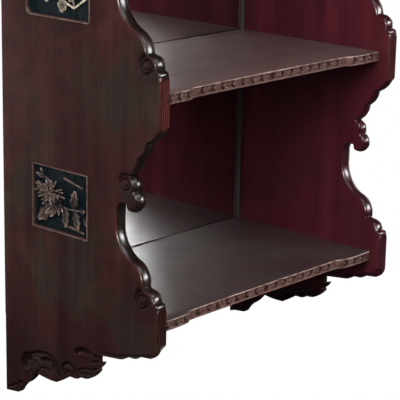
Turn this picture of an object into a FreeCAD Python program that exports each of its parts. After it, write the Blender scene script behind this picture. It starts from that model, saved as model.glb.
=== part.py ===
import FreeCAD, Part
import Sketcher
import os

# Wall-hung book cabinet with mirrored back, in millimetres, +Z up.
# The origin is midway between the two wall screws, on the cabinet's rear plane.
# +Y points into the wall, so the room is on the -Y side, and X runs along the shelves.

DRIVING_SIZES = {
    "overall_width": 506,
    "depth": 300,
    "side_thickness": 19,
    "shelf_pitch": 308,
    "shelf_thickness": 14.5,
    "bay_count": 3,
    "housing_depth": 6,
    "board_setback": 36,
    "edge_end_setback": 16.4,
    "edge_middle_setback": 24.4,
    "edge_block_length": 58,
    "edge_turn_length": 13,
    "edge_bow": 1.2,
    "edge_band_sink": 1.3,
    "edge_top_fillet": 2.4,
    "edge_bottom_fillet": 2.8,
    "block_rise": 28,
    "block_fall": 42,
    "scroll_depth": 74,
    "foot_drop": 167,
    "side_top_rise": 90,
    "quirk_depth": 1.7,
    "quirk_stop": 3.5,
    "crease_drop": 7,
    "crease_depth": 0.9,
    "volute_groove_width": 1.9,
    "volute_groove_depth": 1.5,
    "lower_volute_radius": 13,
    "hook_curl_radius": 11.5,
    "foot_volute_radius": 12.5,
    "snout_curl_radius": 10,
    "mirror_setback": 15.4,
    "mirror_thickness": 4,
    "mirror_clearance": 0.3,
    "bead_radius": 6,
    "backing_thickness": 6,
    "backing_count": 4,
    "backing_gap": 0.4,
    "rebate_width": 6,
    "rail_height": 58,
    "wall_screw_spacing": 300,
    "wall_screw_hole": 6,
    "wall_screw_sink": 2.6,
    "crest_height": 126,
    "crest_thickness": 12,
    "tablet_thickness": 3.2,
    "tablet_recess": 5,
    "tablet_frame_width": 5,
    "tablet_frame_proud": 1.8,
    "tablet_lip": 0.8,
    "spray_relief": 2.4,
    "lower_tablet_length": 110,
    "lower_tablet_height": 92,
    "lower_tablet_rise": 93,
    "lower_tablet_rear_margin": 61,
    "upper_tablet_length": 124,
    "upper_tablet_height": 108,
    "upper_tablet_rise": 79,
    "upper_tablet_rear_margin": 51,
    "upper_tablet_corner": 14,
    "cut_overrun": 2,
}

doc = FreeCAD.newDocument("book_cabinet")
sheet = doc.addObject("Spreadsheet::Sheet", "Sizes")
for row, (alias, amount) in enumerate(DRIVING_SIZES.items(), start=1):
    sheet.set(f"A{row}", alias)
    sheet.set(f"B{row}", str(amount))
    sheet.setAlias(f"B{row}", alias)
doc.recompute()


def size(alias):
    """The sheet's value of one driving size."""
    return float(sheet.get(alias))


def names(expression):
    """Write $size in an expression as the sheet's cell."""
    return expression.replace("$", "Sizes.")


def value(expression):
    """The number that an expression gives now."""
    result = sheet.evalExpression(names(expression))
    return float(getattr(result, "Value", result))


# Places that follow from the driving sizes, as expressions of the sheet's cells
INNER_HALF = "($overall_width / 2 - $side_thickness)"
LOWEST_TOP = "(-$bay_count * $shelf_pitch + $shelf_thickness + $rail_height / 2)"
FRONT = "(-$depth)"
BACKING_FRONT = "(-$mirror_setback + $mirror_thickness)"
BAY_COUNT = int(size("bay_count"))
SIDES = {"left": -1, "right": 1}

parts = []


def keep(item, label):
    """Name a finished piece and list it for the hand-in."""
    item.Label = label
    parts.append(item)
    return item


def bind(item, **expressions):
    """Bind an object's properties to the sheet."""
    for name, expression in expressions.items():
        item.setExpression(name, names(expression))


def place(item, across, back, up):
    """Bind an object's position to the sheet."""
    for axis, expression in zip("xyz", (across, back, up)):
        item.setExpression(f".Placement.Base.{axis}", names(expression))


def board_top(level):
    """Height of the top of board number level, counted from 0, as an expression."""
    return f"({LOWEST_TOP} + {level} * $shelf_pitch)"


def new_sketch(body, role, name):
    """An empty sketch on one of the body's own origin planes."""
    plane = next(plane for plane in body.Origin.OriginFeatures if plane.Role == role)
    sketch = body.newObject("Sketcher::SketchObject", name)
    sketch.AttachmentSupport = [(plane, "")]
    sketch.MapMode = "FlatFace"
    return sketch


def bound_point(sketch, geometry, point, across, up):
    """Hold a sketch point at two expressions, where 0 means on the axis."""
    for kind, axis, expression in (("DistanceX", -2, across), ("DistanceY", -1, up)):
        if expression == "0":
            sketch.addConstraint(Sketcher.Constraint("PointOnObject", geometry, point, axis))
        else:
            rule = Sketcher.Constraint(kind, -1, 1, geometry, point, value(expression))
            index = sketch.addConstraint(rule)
            sketch.setExpression(f"Constraints[{index}]", names(expression))


def board(label, corners, thickness):
    """A straight-edged board: corner expressions in plan, padded upwards to a thickness."""
    body = doc.addObject("PartDesign::Body", label)
    sketch = new_sketch(body, "XY_Plane", f"{label}_outline")
    spots = [FreeCAD.Vector(value(across), value(up), 0) for across, up in corners]
    for start, end in zip(spots, spots[1:] + spots[:1]):
        sketch.addGeometry(Part.LineSegment(start, end), False)
    for index, (across, up) in enumerate(corners):
        previous = (index - 1) % len(corners)
        sketch.addConstraint(Sketcher.Constraint("Coincident", previous, 2, index, 1))
        bound_point(sketch, index, 1, across, up)
    pad = body.newObject("PartDesign::Pad", f"{label}_pad")
    pad.Profile = sketch
    bind(pad, Length=thickness)
    return keep(body, label)


def rectangle(width, height):
    """The corners of a rectangle that starts at the origin."""
    return [("0", "0"), (width, "0"), (width, height), ("0", height)]


# Outlines with curves are tables of shares, chosen by hand. A row is an end point, or the
# middle and end points of an arc, each as (share of the depth size, share of the height size).
SCROLL_SHARES = [
    ((0.020, 0.0148), (0.068, 0.021)),
    ((0.135, 0.025),),
    ((0.165, 0.068), (0.270, 0.088)),
    ((0.369, 0.0966),),
    ((0.440, 0.190), (0.654, 0.241)),
    ((0.902, 0.308), (1.0, 0.429)),
    ((1.0, 0.500),),
    ((0.965, 0.536), (0.900, 0.547)),
    ((0.845, 0.547),),
    ((0.822, 0.515), (0.750, 0.502)),
    ((0.488, 0.562), (0.561, 0.626)),
    ((0.600, 0.632),),
    ((0.590, 0.678), (0.723, 0.714)),
    ((0.575, 0.758), (0.514, 0.817)),
    ((0.365, 0.857), (0.297, 0.916)),
    ((0.105, 0.951), (0.0, 1.0)),
]
FOOT_SHARES = [
    ((0.006, 0.200), (0.040, 0.256)),
    ((0.105, 0.269),),
    ((0.122, 0.293), (0.150, 0.304)),
    ((0.180, 0.307),),
    ((0.200, 0.332), (0.235, 0.352)),
    ((0.345, 0.377),),
    ((0.345, 0.440),),
    ((0.314, 0.419),),
    ((0.326, 0.457), (0.352, 0.496)),
    ((0.343, 0.514),),
    ((0.368, 0.560), (0.407, 0.599)),
    ((0.440, 0.625), (0.480, 0.626)),
    ((0.504, 0.655), (0.538, 0.660)),
    ((0.580, 0.719), (0.647, 0.757)),
    ((0.707, 0.757), (0.767, 0.744)),
    ((0.797, 0.832), (0.852, 0.887)),
    ((0.872, 0.949), (0.907, 0.984)),
    ((1.0, 1.0),),
]
SIDE_TOP_SHARES = [
    ((0.190, 0.350), (0.330, 0.310)),
    ((0.640, 0.390), (0.820, 0.730)),
    ((0.870, 0.930), (0.940, 1.0)),
    ((1.0, 1.0),),
]
CREST_SHARES = [
    ((0.900, 0.600), (0.800, 0.510)),
    ((0.690, 0.420), (0.560, 0.460)),
    ((0.550, 0.540),),
    ((0.450, 0.660), (0.300, 0.690)),
    ((0.290, 0.760),),
    ((0.159, 0.937), (0.0, 1.0)),
]
CREST_END_SHARE = 0.62

# The side boards' tops start with the same lip and shoulder as a scroll
SCROLL_LIP_ROWS = 4
# The lowest reeded block stops short of its full fall, where the foot's curve takes over
FOOT_BLOCK_SHARE = 0.64
# Grooves between the reeds of a block
QUIRK_COUNT = 3
UPRIGHT_TURN = FreeCAD.Rotation(FreeCAD.Vector(0, 0, 1), 45)
LEVEL_TURN = FreeCAD.Rotation(FreeCAD.Vector(1, 0, 0), 45)

# A volute is a groove of half turns, each tighter than the last by these shares of its radius
VOLUTE_RADIUS_SHARES = (1.0, 0.62)
CURL_RADIUS_SHARES = (1.0,)
# Volute centres, as shares of the scroll's depth and height
LOWER_VOLUTE_SHARES = (0.40, 0.042)
HOOK_CURL_SHARES = (0.83, 0.668)
# Centres of the volute and the curl on the foot, and its eye slit: front, over, back and under
FOOT_VOLUTE_SHARES = (0.700, 0.640)
SNOUT_CURL_SHARES = (0.568, 0.600)
EYE_SHARES = ((0.372, 0.392), (0.440, 0.383), (0.520, 0.425), (0.440, 0.407))

# Where an edge strip's shoulder bulges to, as shares of its run and of its step
SHOULDER_RUN_SHARE = 0.5
SHOULDER_STEP_SHARE = 0.8
# How far off the rail's front a hole's rim may lie to be countersunk, as a share of the sink
RIM_OFFSET_SHARE = 0.01

# A canted corner shrinks by this share of the margin, so that its border keeps one width
CANT_SHARE = 2 - 2 ** 0.5
# How much of a tablet frame's proud height is its wider lower step
FRAME_STEP_SHARE = 0.55
# The carved spray on each tablet: a many-petalled bloom, leaves and a stem. Places are shares
# of the tablet's length and height, from its front lower corner; lengths are shares of its height.
BLOOM_SHARES = (0.60, 0.60)
PETAL_COUNT = 8
PETAL_START_SHARE = 0.05
PETAL_LENGTH_SHARE = 0.27
PETAL_WIDTH_SHARE = 0.11
LEAF_SHARES = [
    (0.26, 0.52, 62, 0.26, 0.13),
    (0.20, 0.30, 118, 0.22, 0.12),
    (0.42, 0.26, 70, 0.24, 0.12),
    (0.76, 0.24, -28, 0.30, 0.15),
    (0.22, 0.78, 20, 0.22, 0.05),
]
STEM_SHARES = [(0.58, 0.42, 52, 0.30, 0.045), (0.38, 0.36, 8, 0.46, 0.04), (0.24, 0.42, 88, 0.30, 0.04)]
# A leaf's outline along its length and across its width
LEAF_OUTLINE_SHARES = [(-0.5, 0), (-0.1, -0.5), (0.3, -0.36), (0.5, 0.1), (-0.05, 0.5)]


def outline_edges(start, rows, spot):
    """Edges from a start point along rows of shares, which spot turns into points."""
    edges = []
    for row in rows:
        points = [spot(*shares) for shares in row]
        if len(points) == 1:
            edges.append(Part.makeLine(start, points[0]))
        else:
            edges.append(Part.Arc(start, points[0], points[1]).toShape())
        start = points[-1]
    return edges, start


def side_outline():
    """The face of a side board's outline, in the plane X = 0, with the scrolls on its front."""
    depth, pitch = size("depth"), size("shelf_pitch")
    rise, fall, drop = size("block_rise"), size("block_fall"), size("foot_drop")
    low = value(LOWEST_TOP)
    high = value(board_top(BAY_COUNT))
    scroll_height = pitch - rise - fall

    def at(back, up):
        return FreeCAD.Vector(0, back - depth, up)

    foot_start = at(0, low - fall * FOOT_BLOCK_SHARE)
    edges, foot_end = outline_edges(foot_start, FOOT_SHARES, lambda y, z: at(y * depth, low - z * drop))
    edges.reverse()
    spot = foot_start
    for level in range(BAY_COUNT):
        base = low + level * pitch + rise
        edges.append(Part.makeLine(spot, at(0, base)))
        scroll, spot = outline_edges(
            at(0, base), SCROLL_SHARES,
            lambda y, z: at(y * size("scroll_depth"), base + z * scroll_height))
        edges += scroll
    base = high + rise
    edges.append(Part.makeLine(spot, at(0, base)))
    lip, spot = outline_edges(
        at(0, base), SCROLL_SHARES[:SCROLL_LIP_ROWS],
        lambda y, z: at(y * size("scroll_depth"), base + z * scroll_height))
    crown, spot = outline_edges(
        spot, SIDE_TOP_SHARES, lambda y, z: at(y * depth, high + z * size("side_top_rise")))
    edges += lip + crown
    edges.append(Part.makeLine(spot, foot_end))
    return Part.Face(Part.Wire(Part.__sortEdges__(edges)))


def volute_groove(back, up, radius, opens, radius_shares):
    """The face of a spiral groove, in the plane X = 0, that opens downwards (1) or upwards (-1)."""
    half_width = size("volute_groove_width") / 2
    depth = size("depth")
    outer, inner = [], []
    centre, turn = 0.0, opens
    for number, share in enumerate(radius_shares):
        reach = radius * share
        for side, half_turns in ((half_width, outer), (-half_width, inner)):
            bend = reach + side
            points = [(centre - turn * bend, 0), (centre, bend * turn * opens), (centre + turn * bend, 0)]
            half_turns.append([FreeCAD.Vector(0, back + y - depth, up + z) for y, z in points])
        next_share = radius_shares[min(number + 1, len(radius_shares) - 1)]
        centre += turn * (reach - radius * next_share)
        turn = -turn
    edges = [Part.Arc(*points).toShape() for points in outer + inner]
    edges.append(Part.makeLine(outer[0][0], inner[0][0]))
    edges.append(Part.makeLine(outer[-1][2], inner[-1][2]))
    return Part.Face(Part.Wire(Part.__sortEdges__(edges)))


def side_grooves():
    """The faces of every carved groove on a side board's outer face, in the plane X = 0."""
    depth, pitch = size("depth"), size("shelf_pitch")
    rise, fall, drop = size("block_rise"), size("block_fall"), size("foot_drop")
    low = value(LOWEST_TOP)
    scroll_height = pitch - rise - fall
    faces = []
    for level in range(BAY_COUNT):
        base = low + level * pitch + rise
        for shares, radius, opens, turns in (
                (LOWER_VOLUTE_SHARES, size("lower_volute_radius"), 1, VOLUTE_RADIUS_SHARES),
                (HOOK_CURL_SHARES, size("hook_curl_radius"), -1, CURL_RADIUS_SHARES)):
            back, up = shares[0] * size("scroll_depth"), base + shares[1] * scroll_height
            faces.append(volute_groove(back, up, radius, opens, turns))
    for shares, radius, turns in (
            (FOOT_VOLUTE_SHARES, size("foot_volute_radius"), VOLUTE_RADIUS_SHARES),
            (SNOUT_CURL_SHARES, size("snout_curl_radius"), CURL_RADIUS_SHARES)):
        faces.append(volute_groove(shares[0] * depth, low - shares[1] * drop, radius, 1, turns))
    front, over, back, under = [
        FreeCAD.Vector(0, y * depth - depth, low - z * drop) for y, z in EYE_SHARES]
    eye = [Part.Arc(front, over, back).toShape(), Part.Arc(back, under, front).toShape()]
    faces.append(Part.Face(Part.Wire(eye)))
    return Part.makeCompound(faces)


def tablet_sizes(level):
    """Which named sizes the tablet of a bay follows: the lowest is smaller than the rest."""
    return "lower_tablet" if level == 0 else "upper_tablet"


def tablet_place(level):
    """Front edge and lower edge of a bay's tablet frame, as expressions."""
    kind = tablet_sizes(level)
    return f"(-${kind}_rear_margin - ${kind}_length)", f"({board_top(level)} + ${kind}_rise)"


def tool_box(name, across, back, up, length, width, height):
    """A box that cuts a recess, bound to the sheet."""
    box = doc.addObject("Part::Box", name)
    place(box, across, back, up)
    bind(box, Length=length, Width=width, Height=height)
    return box


def side_tools(side):
    """Everything that is cut out of one side board."""
    sign = SIDES[side]
    inner = f"({sign} * {INNER_HALF})"
    overrun = "$cut_overrun"
    tools = []

    # Housings for the boards, open to the rear
    for level in range(BAY_COUNT + 1):
        start = f"{inner} - {overrun}" if sign > 0 else f"{inner} - $housing_depth"
        tools.append(tool_box(
            f"{side}_housing_{level}", start, f"{FRONT} + $board_setback",
            f"{board_top(level)} - $shelf_thickness", f"$housing_depth + {overrun}",
            f"$depth - $board_setback + {overrun}", "$shelf_thickness"))

    # Rebate for the backing boards, from the lowest board up to the top one
    start = f"{inner} - {overrun}" if sign > 0 else f"{inner} - $rebate_width"
    tools.append(tool_box(
        f"{side}_rebate", start, BACKING_FRONT, f"{LOWEST_TOP} - $shelf_thickness",
        f"$rebate_width + {overrun}", f"-{BACKING_FRONT} + {overrun}",
        f"$bay_count * $shelf_pitch"))

    # Recess in the outer face for each flower tablet
    outer = f"({sign} * $overall_width / 2)"
    start = f"{outer} - $tablet_recess" if sign > 0 else f"{outer} - {overrun}"
    for level in range(BAY_COUNT):
        recess = slab(f"{side}_recess_{level}", tablet_face(level), f"$tablet_recess + {overrun}")
        place(recess, start, "0", "0")
        tools.append(recess)

    # Quirks that leave upright reeds on the front of each block, and a crease across them
    for level in range(BAY_COUNT + 1):
        fall = f"{FOOT_BLOCK_SHARE} * $block_fall" if level == 0 else "$block_fall"
        for number in range(QUIRK_COUNT):
            share = (number + 1) / (QUIRK_COUNT + 1)
            quirk = diamond_bar(f"{side}_quirk_{level}_{number}", "$quirk_depth", UPRIGHT_TURN)
            place(quirk, f"{inner} + {sign} * {share} * $side_thickness", f"{FRONT} - $quirk_depth",
                  f"{board_top(level)} - {fall} + $quirk_stop")
            bind(quirk, Height=f"{fall} + $block_rise - 2 * $quirk_stop")
            tools.append(quirk)
        crease = diamond_bar(f"{side}_crease_{level}", "$crease_depth", LEVEL_TURN)
        start = f"{inner} - {overrun}" if sign > 0 else f"{outer} - {overrun}"
        place(crease, start, FRONT, f"{board_top(level)} - $crease_drop - $crease_depth")
        bind(crease, Length=f"$side_thickness + 2 * {overrun}")
        tools.append(crease)
    return tools


def diamond_bar(name, depth, turn):
    """A square bar turned on its edge, which cuts a V groove of the given depth."""
    bar = doc.addObject("Part::Box", name)
    bar.Placement.Rotation = turn
    side = f"{depth} * sqrt(2)"
    sizes = {"Width": side, "Length" if turn is UPRIGHT_TURN else "Height": side}
    bind(bar, **sizes)
    return bar


def slab(name, face, thickness):
    """A face in the plane X = 0, drawn out along X to a thickness bound to the sheet."""
    outline = doc.addObject("Part::Feature", f"{name}_outline")
    outline.Shape = face
    solid = doc.addObject("Part::Extrusion", name)
    solid.Base = outline
    solid.DirMode = "Custom"
    solid.Dir = FreeCAD.Vector(1, 0, 0)
    solid.Solid = True
    bind(solid, LengthFwd=thickness)
    return solid


def side_board(side):
    """One scrolled side board with its housings, rebate, recesses, reeds and carved grooves."""
    sign = SIDES[side]
    outer = f"({sign} * $overall_width / 2)"
    blank = slab(f"{side}_blank", side_outline(), "$side_thickness")
    place(blank, INNER_HALF if sign > 0 else outer, "0", "0")

    grooves = slab(f"{side}_grooves", side_grooves(), "$volute_groove_depth + $cut_overrun")
    start = f"{outer} - $volute_groove_depth" if sign > 0 else f"{outer} - $cut_overrun"
    place(grooves, start, "0", "0")

    tools = doc.addObject("Part::Compound", f"{side}_tools")
    tools.Links = side_tools(side) + [grooves]
    cut = doc.addObject("Part::Cut", f"{side}_side_panel")
    cut.Base = blank
    cut.Tool = tools
    return keep(cut, f"{side}_side_panel")


def shelf_board(label, level, rear):
    """A board in the side housings, from the edge strip back to the plane at rear."""
    width = f"(2 * {INNER_HALF} + 2 * $housing_depth)"
    item = board(label, rectangle(width, f"({rear} - {FRONT} - $board_setback)"), "$shelf_thickness")
    place(item, f"-{width} / 2", f"{FRONT} + $board_setback", f"{board_top(level)} - $shelf_thickness")
    return item


def strip_face(sink):
    """Plan of an edge strip: two proud end blocks, quarter-turn shoulders, a slightly hollow middle."""
    half = value(INNER_HALF)
    back = size("board_setback")
    end = size("edge_end_setback") + sink
    middle = size("edge_middle_setback") + sink
    block, turn, bow = size("edge_block_length"), size("edge_turn_length"), size("edge_bow")

    def at(across, behind):
        return FreeCAD.Vector(across, behind, 0)

    def shoulder(sign):
        outer, inner = half - block, half - block - turn
        step = middle - end
        return Part.Arc(at(sign * outer, end),
                        at(sign * (inner + turn * SHOULDER_RUN_SHARE), middle - step * SHOULDER_STEP_SHARE),
                        at(sign * inner, middle)).toShape()

    inner = half - block - turn
    edges = [
        Part.makeLine(at(-half, back), at(-half, end)),
        Part.makeLine(at(-half, end), at(block - half, end)),
        shoulder(-1),
        Part.Arc(at(-inner, middle), at(0, middle + bow), at(inner, middle)).toShape(),
        shoulder(1),
        Part.makeLine(at(half - block, end), at(half, end)),
        Part.makeLine(at(half, end), at(half, back)),
        Part.makeLine(at(half, back), at(-half, back)),
    ]
    return Part.Face(Part.Wire(edges))


def edge_strip(label, level):
    """The carved strip on a board's front: a sunk band for the carving between two fillets."""
    thickness = size("shelf_thickness")
    top, bottom, sink = size("edge_top_fillet"), size("edge_bottom_fillet"), size("edge_band_sink")
    layers = [(0, bottom, 0), (bottom, thickness - bottom - top, sink), (thickness - top, top, 0)]
    solids = []
    for start, height, inset in layers:
        layer = strip_face(inset).extrude(FreeCAD.Vector(0, 0, height))
        layer.translate(FreeCAD.Vector(0, 0, start))
        solids.append(layer)
    strip = doc.addObject("Part::Feature", label)
    strip.Shape = solids[0].multiFuse(solids[1:]).removeSplitter()
    place(strip, "0", FRONT, f"{board_top(level)} - $shelf_thickness")
    return keep(strip, label)


def bay_ceiling(level):
    """Height where the mirror of a bay ends: under the next board, or under the rail."""
    under = f"({board_top(level + 1)} - $shelf_thickness)"
    return f"({under} - $rail_height)" if level == BAY_COUNT - 1 else under


def mirror(level):
    """The mirror plate at the rear of a bay."""
    label = f"mirror_{level + 1}"
    width = f"(2 * {INNER_HALF} - 2 * $mirror_clearance)"
    item = board(label, rectangle(width, "$mirror_thickness"),
                 f"{bay_ceiling(level)} - {board_top(level)} - $mirror_clearance")
    place(item, f"-{width} / 2", "-$mirror_setback", board_top(level))
    return item


def mirror_bead(side, level):
    """A quarter-round bead in a rear corner of a bay, in front of the mirror."""
    label = f"mirror_bead_{side}_{level + 1}"
    bead = doc.addObject("Part::Cylinder", label)
    quarter = 90
    bead.Angle = quarter
    turn = -quarter if side == "left" else 2 * quarter
    bead.Placement.Rotation = FreeCAD.Rotation(FreeCAD.Vector(0, 0, 1), turn)
    bind(bead, Radius="$bead_radius", Height=f"{bay_ceiling(level)} - {board_top(level)}")
    place(bead, f"{SIDES[side]} * {INNER_HALF}", "-$mirror_setback", board_top(level))
    return keep(bead, label)


def backing_board(number, count):
    """One of the upright boards behind the mirrors, side by side in the rebate."""
    label = f"backing_board_{number + 1}"
    opening = f"(2 * {INNER_HALF} + 2 * $rebate_width)"
    pitch = f"({opening} / {count})"
    height = f"({bay_ceiling(BAY_COUNT - 1)} - {LOWEST_TOP} + $shelf_thickness)"
    item = board(label, rectangle(f"({pitch} - $backing_gap)", "$backing_thickness"), height)
    place(item, f"-{opening} / 2 + {number} * {pitch} + $backing_gap / 2", BACKING_FRONT,
          f"{LOWEST_TOP} - $shelf_thickness")
    return item


def hanging_rail():
    """The rail that takes the wall screws, shouldered at its ends to fill the rebates."""
    front, step = f"(2 * {INNER_HALF})", "$rebate_width"
    wide = f"({front} + 2 * $rebate_width)"
    corners = [("0", "$mirror_thickness"), (step, "$mirror_thickness"), (step, "0"),
               (f"({front} + {step})", "0"), (f"({front} + {step})", "$mirror_thickness"),
               (wide, "$mirror_thickness"), (wide, "$mirror_setback"), ("0", "$mirror_setback")]
    item = board("hanging_rail", corners, "$rail_height")
    place(item, f"-{wide} / 2", "-$mirror_setback", "-$rail_height / 2")
    holes = new_sketch(item, "XZ_Plane", "wall_screw_holes")
    for number, sign in enumerate(("-", "+")):
        across = f"({wide} / 2 {sign} $wall_screw_spacing / 2)"
        centre = FreeCAD.Vector(value(across), value("$rail_height / 2"), 0)
        circle = Part.Circle(centre, FreeCAD.Vector(0, 0, 1), value("$wall_screw_hole / 2"))
        holes.addGeometry(circle, False)
        bound_point(holes, number, 3, across, "$rail_height / 2")
        index = holes.addConstraint(Sketcher.Constraint("Radius", number, circle.Radius))
        holes.setExpression(f"Constraints[{index}]", names("$wall_screw_hole / 2"))
    bore = item.newObject("PartDesign::Pocket", "wall_screw_bores")
    bore.Profile = holes
    bore.Type = "ThroughAll"
    bore.Midplane = True
    doc.recompute()

    sinks = item.newObject("PartDesign::Chamfer", "wall_screw_sinks")
    tolerance = size("wall_screw_sink") * RIM_OFFSET_SHARE
    rims = [f"Edge{number}" for number, edge in enumerate(bore.Shape.Edges, start=1)
            if isinstance(edge.Curve, Part.Circle) and abs(edge.CenterOfMass.y) < tolerance]
    sinks.Base = (bore, rims)
    bind(sinks, Size="$wall_screw_sink")
    return item


def crest_board():
    """The low scrolled board that stands on the rear of the top board."""
    half, height = value(INNER_HALF), size("crest_height")

    def at(across, up):
        return FreeCAD.Vector(across * half, 0, up * height)

    right, _ = outline_edges(at(1, CREST_END_SHARE), CREST_SHARES, at)
    left, _ = outline_edges(at(-1, CREST_END_SHARE), CREST_SHARES, lambda x, z: at(-x, z))
    ends = [Part.makeLine(at(1, 0), at(1, CREST_END_SHARE)),
            Part.makeLine(at(-1, 0), at(-1, CREST_END_SHARE)), Part.makeLine(at(-1, 0), at(1, 0))]
    outline = doc.addObject("Part::Feature", "crest_outline")
    outline.Shape = Part.Face(Part.Wire(Part.__sortEdges__(right + left + ends)))
    crest = doc.addObject("Part::Extrusion", "crest_board")
    crest.Base = outline
    crest.DirMode = "Custom"
    crest.Dir = FreeCAD.Vector(0, 1, 0)
    crest.Solid = True
    bind(crest, LengthFwd="$crest_thickness")
    place(crest, "0", "-$crest_thickness", board_top(BAY_COUNT))
    return keep(crest, "crest_board")


def tablet_wire(level, margin):
    """A tablet's outline in the plane X = 0, set in by a margin, with its corners cut if it has any."""
    kind = tablet_sizes(level)
    front, low = (value(expression) for expression in tablet_place(level))
    length, height = size(f"{kind}_length"), size(f"{kind}_height")
    y0, y1 = front + margin, front + length - margin
    z0, z1 = low + margin, low + height - margin
    corner = size("upper_tablet_corner") - margin * CANT_SHARE if level else 0
    if corner <= 0:
        spots = [(y0, z0), (y1, z0), (y1, z1), (y0, z1)]
    else:
        spots = [(y0, z0 + corner), (y0 + corner, z0), (y1 - corner, z0), (y1, z0 + corner),
                 (y1, z1 - corner), (y1 - corner, z1), (y0 + corner, z1), (y0, z1 - corner)]
    return Part.makePolygon([FreeCAD.Vector(0, y, z) for y, z in spots + spots[:1]])


def tablet_face(level):
    """The face of a tablet, which is also its recess in the side board."""
    return Part.Face(tablet_wire(level, size("tablet_lip")))


def leaf_face(level, along, above, degrees, length, width):
    """A pointed leaf or petal, about a middle point in shares of its tablet."""
    kind = tablet_sizes(level)
    front, low = (value(expression) for expression in tablet_place(level))
    tablet_length, tablet_height = size(f"{kind}_length"), size(f"{kind}_height")
    middle = FreeCAD.Vector(0, front + along * tablet_length, low + above * tablet_height)
    turn = FreeCAD.Rotation(FreeCAD.Vector(1, 0, 0), degrees)
    scale = tablet_height
    spots = [middle + turn.multVec(FreeCAD.Vector(0, y * length * scale, z * width * scale))
             for y, z in LEAF_OUTLINE_SHARES]
    return Part.Face(Part.makePolygon(spots + spots[:1]))


def spray_shape(level):
    """The outline of a tablet's spray as one shape: petals round the bloom, leaves and stems."""
    kind = tablet_sizes(level)
    height_per_length = size(f"{kind}_height") / size(f"{kind}_length")
    faces = []
    for number in range(PETAL_COUNT):
        degrees = 360 * number / PETAL_COUNT
        reach = PETAL_START_SHARE + PETAL_LENGTH_SHARE / 2
        step = FreeCAD.Rotation(FreeCAD.Vector(1, 0, 0), degrees).multVec(FreeCAD.Vector(0, reach, 0))
        along = BLOOM_SHARES[0] + step.y * height_per_length
        faces.append(leaf_face(level, along, BLOOM_SHARES[1] + step.z, degrees,
                               PETAL_LENGTH_SHARE, PETAL_WIDTH_SHARE))
    faces += [leaf_face(level, *row) for row in LEAF_SHARES + STEM_SHARES]
    return faces[0].multiFuse(faces[1:]).removeSplitter()


def tablet(side, level):
    """The carved flower tablet let into a side board's outer face, bedded on its recess."""
    sign = SIDES[side]
    label = f"{side}_tablet_{level + 1}"
    outer = f"({sign} * $overall_width / 2)"
    ground = slab(f"{label}_ground", tablet_face(level), "$tablet_thickness")
    place(ground, f"{outer} - {sign} * $tablet_recess" + ("" if sign > 0 else " - $tablet_thickness"),
          "0", "0")
    relief = slab(f"{label}_relief", spray_shape(level), "$spray_relief + $tablet_thickness / 2")
    surface = f"({outer} - {sign} * ($tablet_recess - $tablet_thickness))"
    start = f"{surface} - $tablet_thickness / 2" if sign > 0 else f"{surface} - $spray_relief"
    place(relief, start, "0", "0")
    carved = doc.addObject("Part::MultiFuse", label)
    carved.Shapes = [ground, relief]
    carved.Refine = True
    return keep(carved, label)


def tablet_frame(side, level):
    """The moulded frame round a tablet: a flat rim in the recess and a stepped proud bead."""
    label = f"{side}_tablet_frame_{level + 1}"
    sign = SIDES[side]
    outer = sign * size("overall_width") / 2
    width, proud, lip = size("tablet_frame_width"), size("tablet_frame_proud"), size("tablet_lip")
    bed = size("tablet_recess") - size("tablet_thickness")
    step = proud * FRAME_STEP_SHARE

    def ring(outside, inside, start, end):
        rims = [tablet_wire(level, outside), tablet_wire(level, inside)]
        face = Part.makeFace(rims, "Part::FaceMakerBullseye")
        solid = face.extrude(FreeCAD.Vector(sign * (end - start), 0, 0))
        solid.translate(FreeCAD.Vector(outer + sign * start, 0, 0))
        return solid

    body = ring(lip, width, -bed, proud)
    bead = ring(0, width, 0, step)
    frame = doc.addObject("Part::Feature", label)
    frame.Shape = body.fuse(bead).removeSplitter()
    return keep(frame, label)


for side_name in SIDES:
    side_board(side_name)
for board_level in range(BAY_COUNT):
    shelf_board(f"shelf_{board_level + 1}", board_level, BACKING_FRONT)
    edge_strip(f"shelf_edge_{board_level + 1}", board_level)
shelf_board("top_board", BAY_COUNT, "0")
edge_strip("top_edge", BAY_COUNT)
for bay in range(BAY_COUNT):
    mirror(bay)
    for side_name in SIDES:
        mirror_bead(side_name, bay)
        tablet(side_name, bay)
        tablet_frame(side_name, bay)
backing_total = int(size("backing_count"))
for backing_number in range(backing_total):
    backing_board(backing_number, backing_total)
hanging_rail()
crest_board()
doc.recompute()

failed = [item.Label for item in doc.Objects if {"Invalid", "Error"} & set(item.State)]
if failed:
    raise RuntimeError(f"These objects did not build: {failed}")
for item in parts:
    if item.Shape.isNull() or not item.Shape.isValid() or not item.Shape.Solids:
        raise RuntimeError(f"{item.Label} has no valid solid")

os.makedirs("parts", exist_ok=True)
for item in parts:
    item.Shape.exportStep(os.path.join("parts", f"{item.Label}.step"))
print(len(parts), "pieces")
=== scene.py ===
"""Looks of a wall-hung book cabinet: carved side boards, carved shelf edges, flower tablets, mirrors.

Metres, +Z up. The room is on the -Y side, X runs along the shelves, and the origin is midway
between the two wall screws, on the cabinet's rear plane.
"""

import logging
import math
from dataclasses import dataclass, field
from enum import Enum
from typing import Callable, Optional, Sequence

import bmesh
import bpy
import numpy as np
from mathutils import Matrix, Vector
from mathutils.bvhtree import BVHTree
from mathutils.geometry import delaunay_2d_cdt

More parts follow.
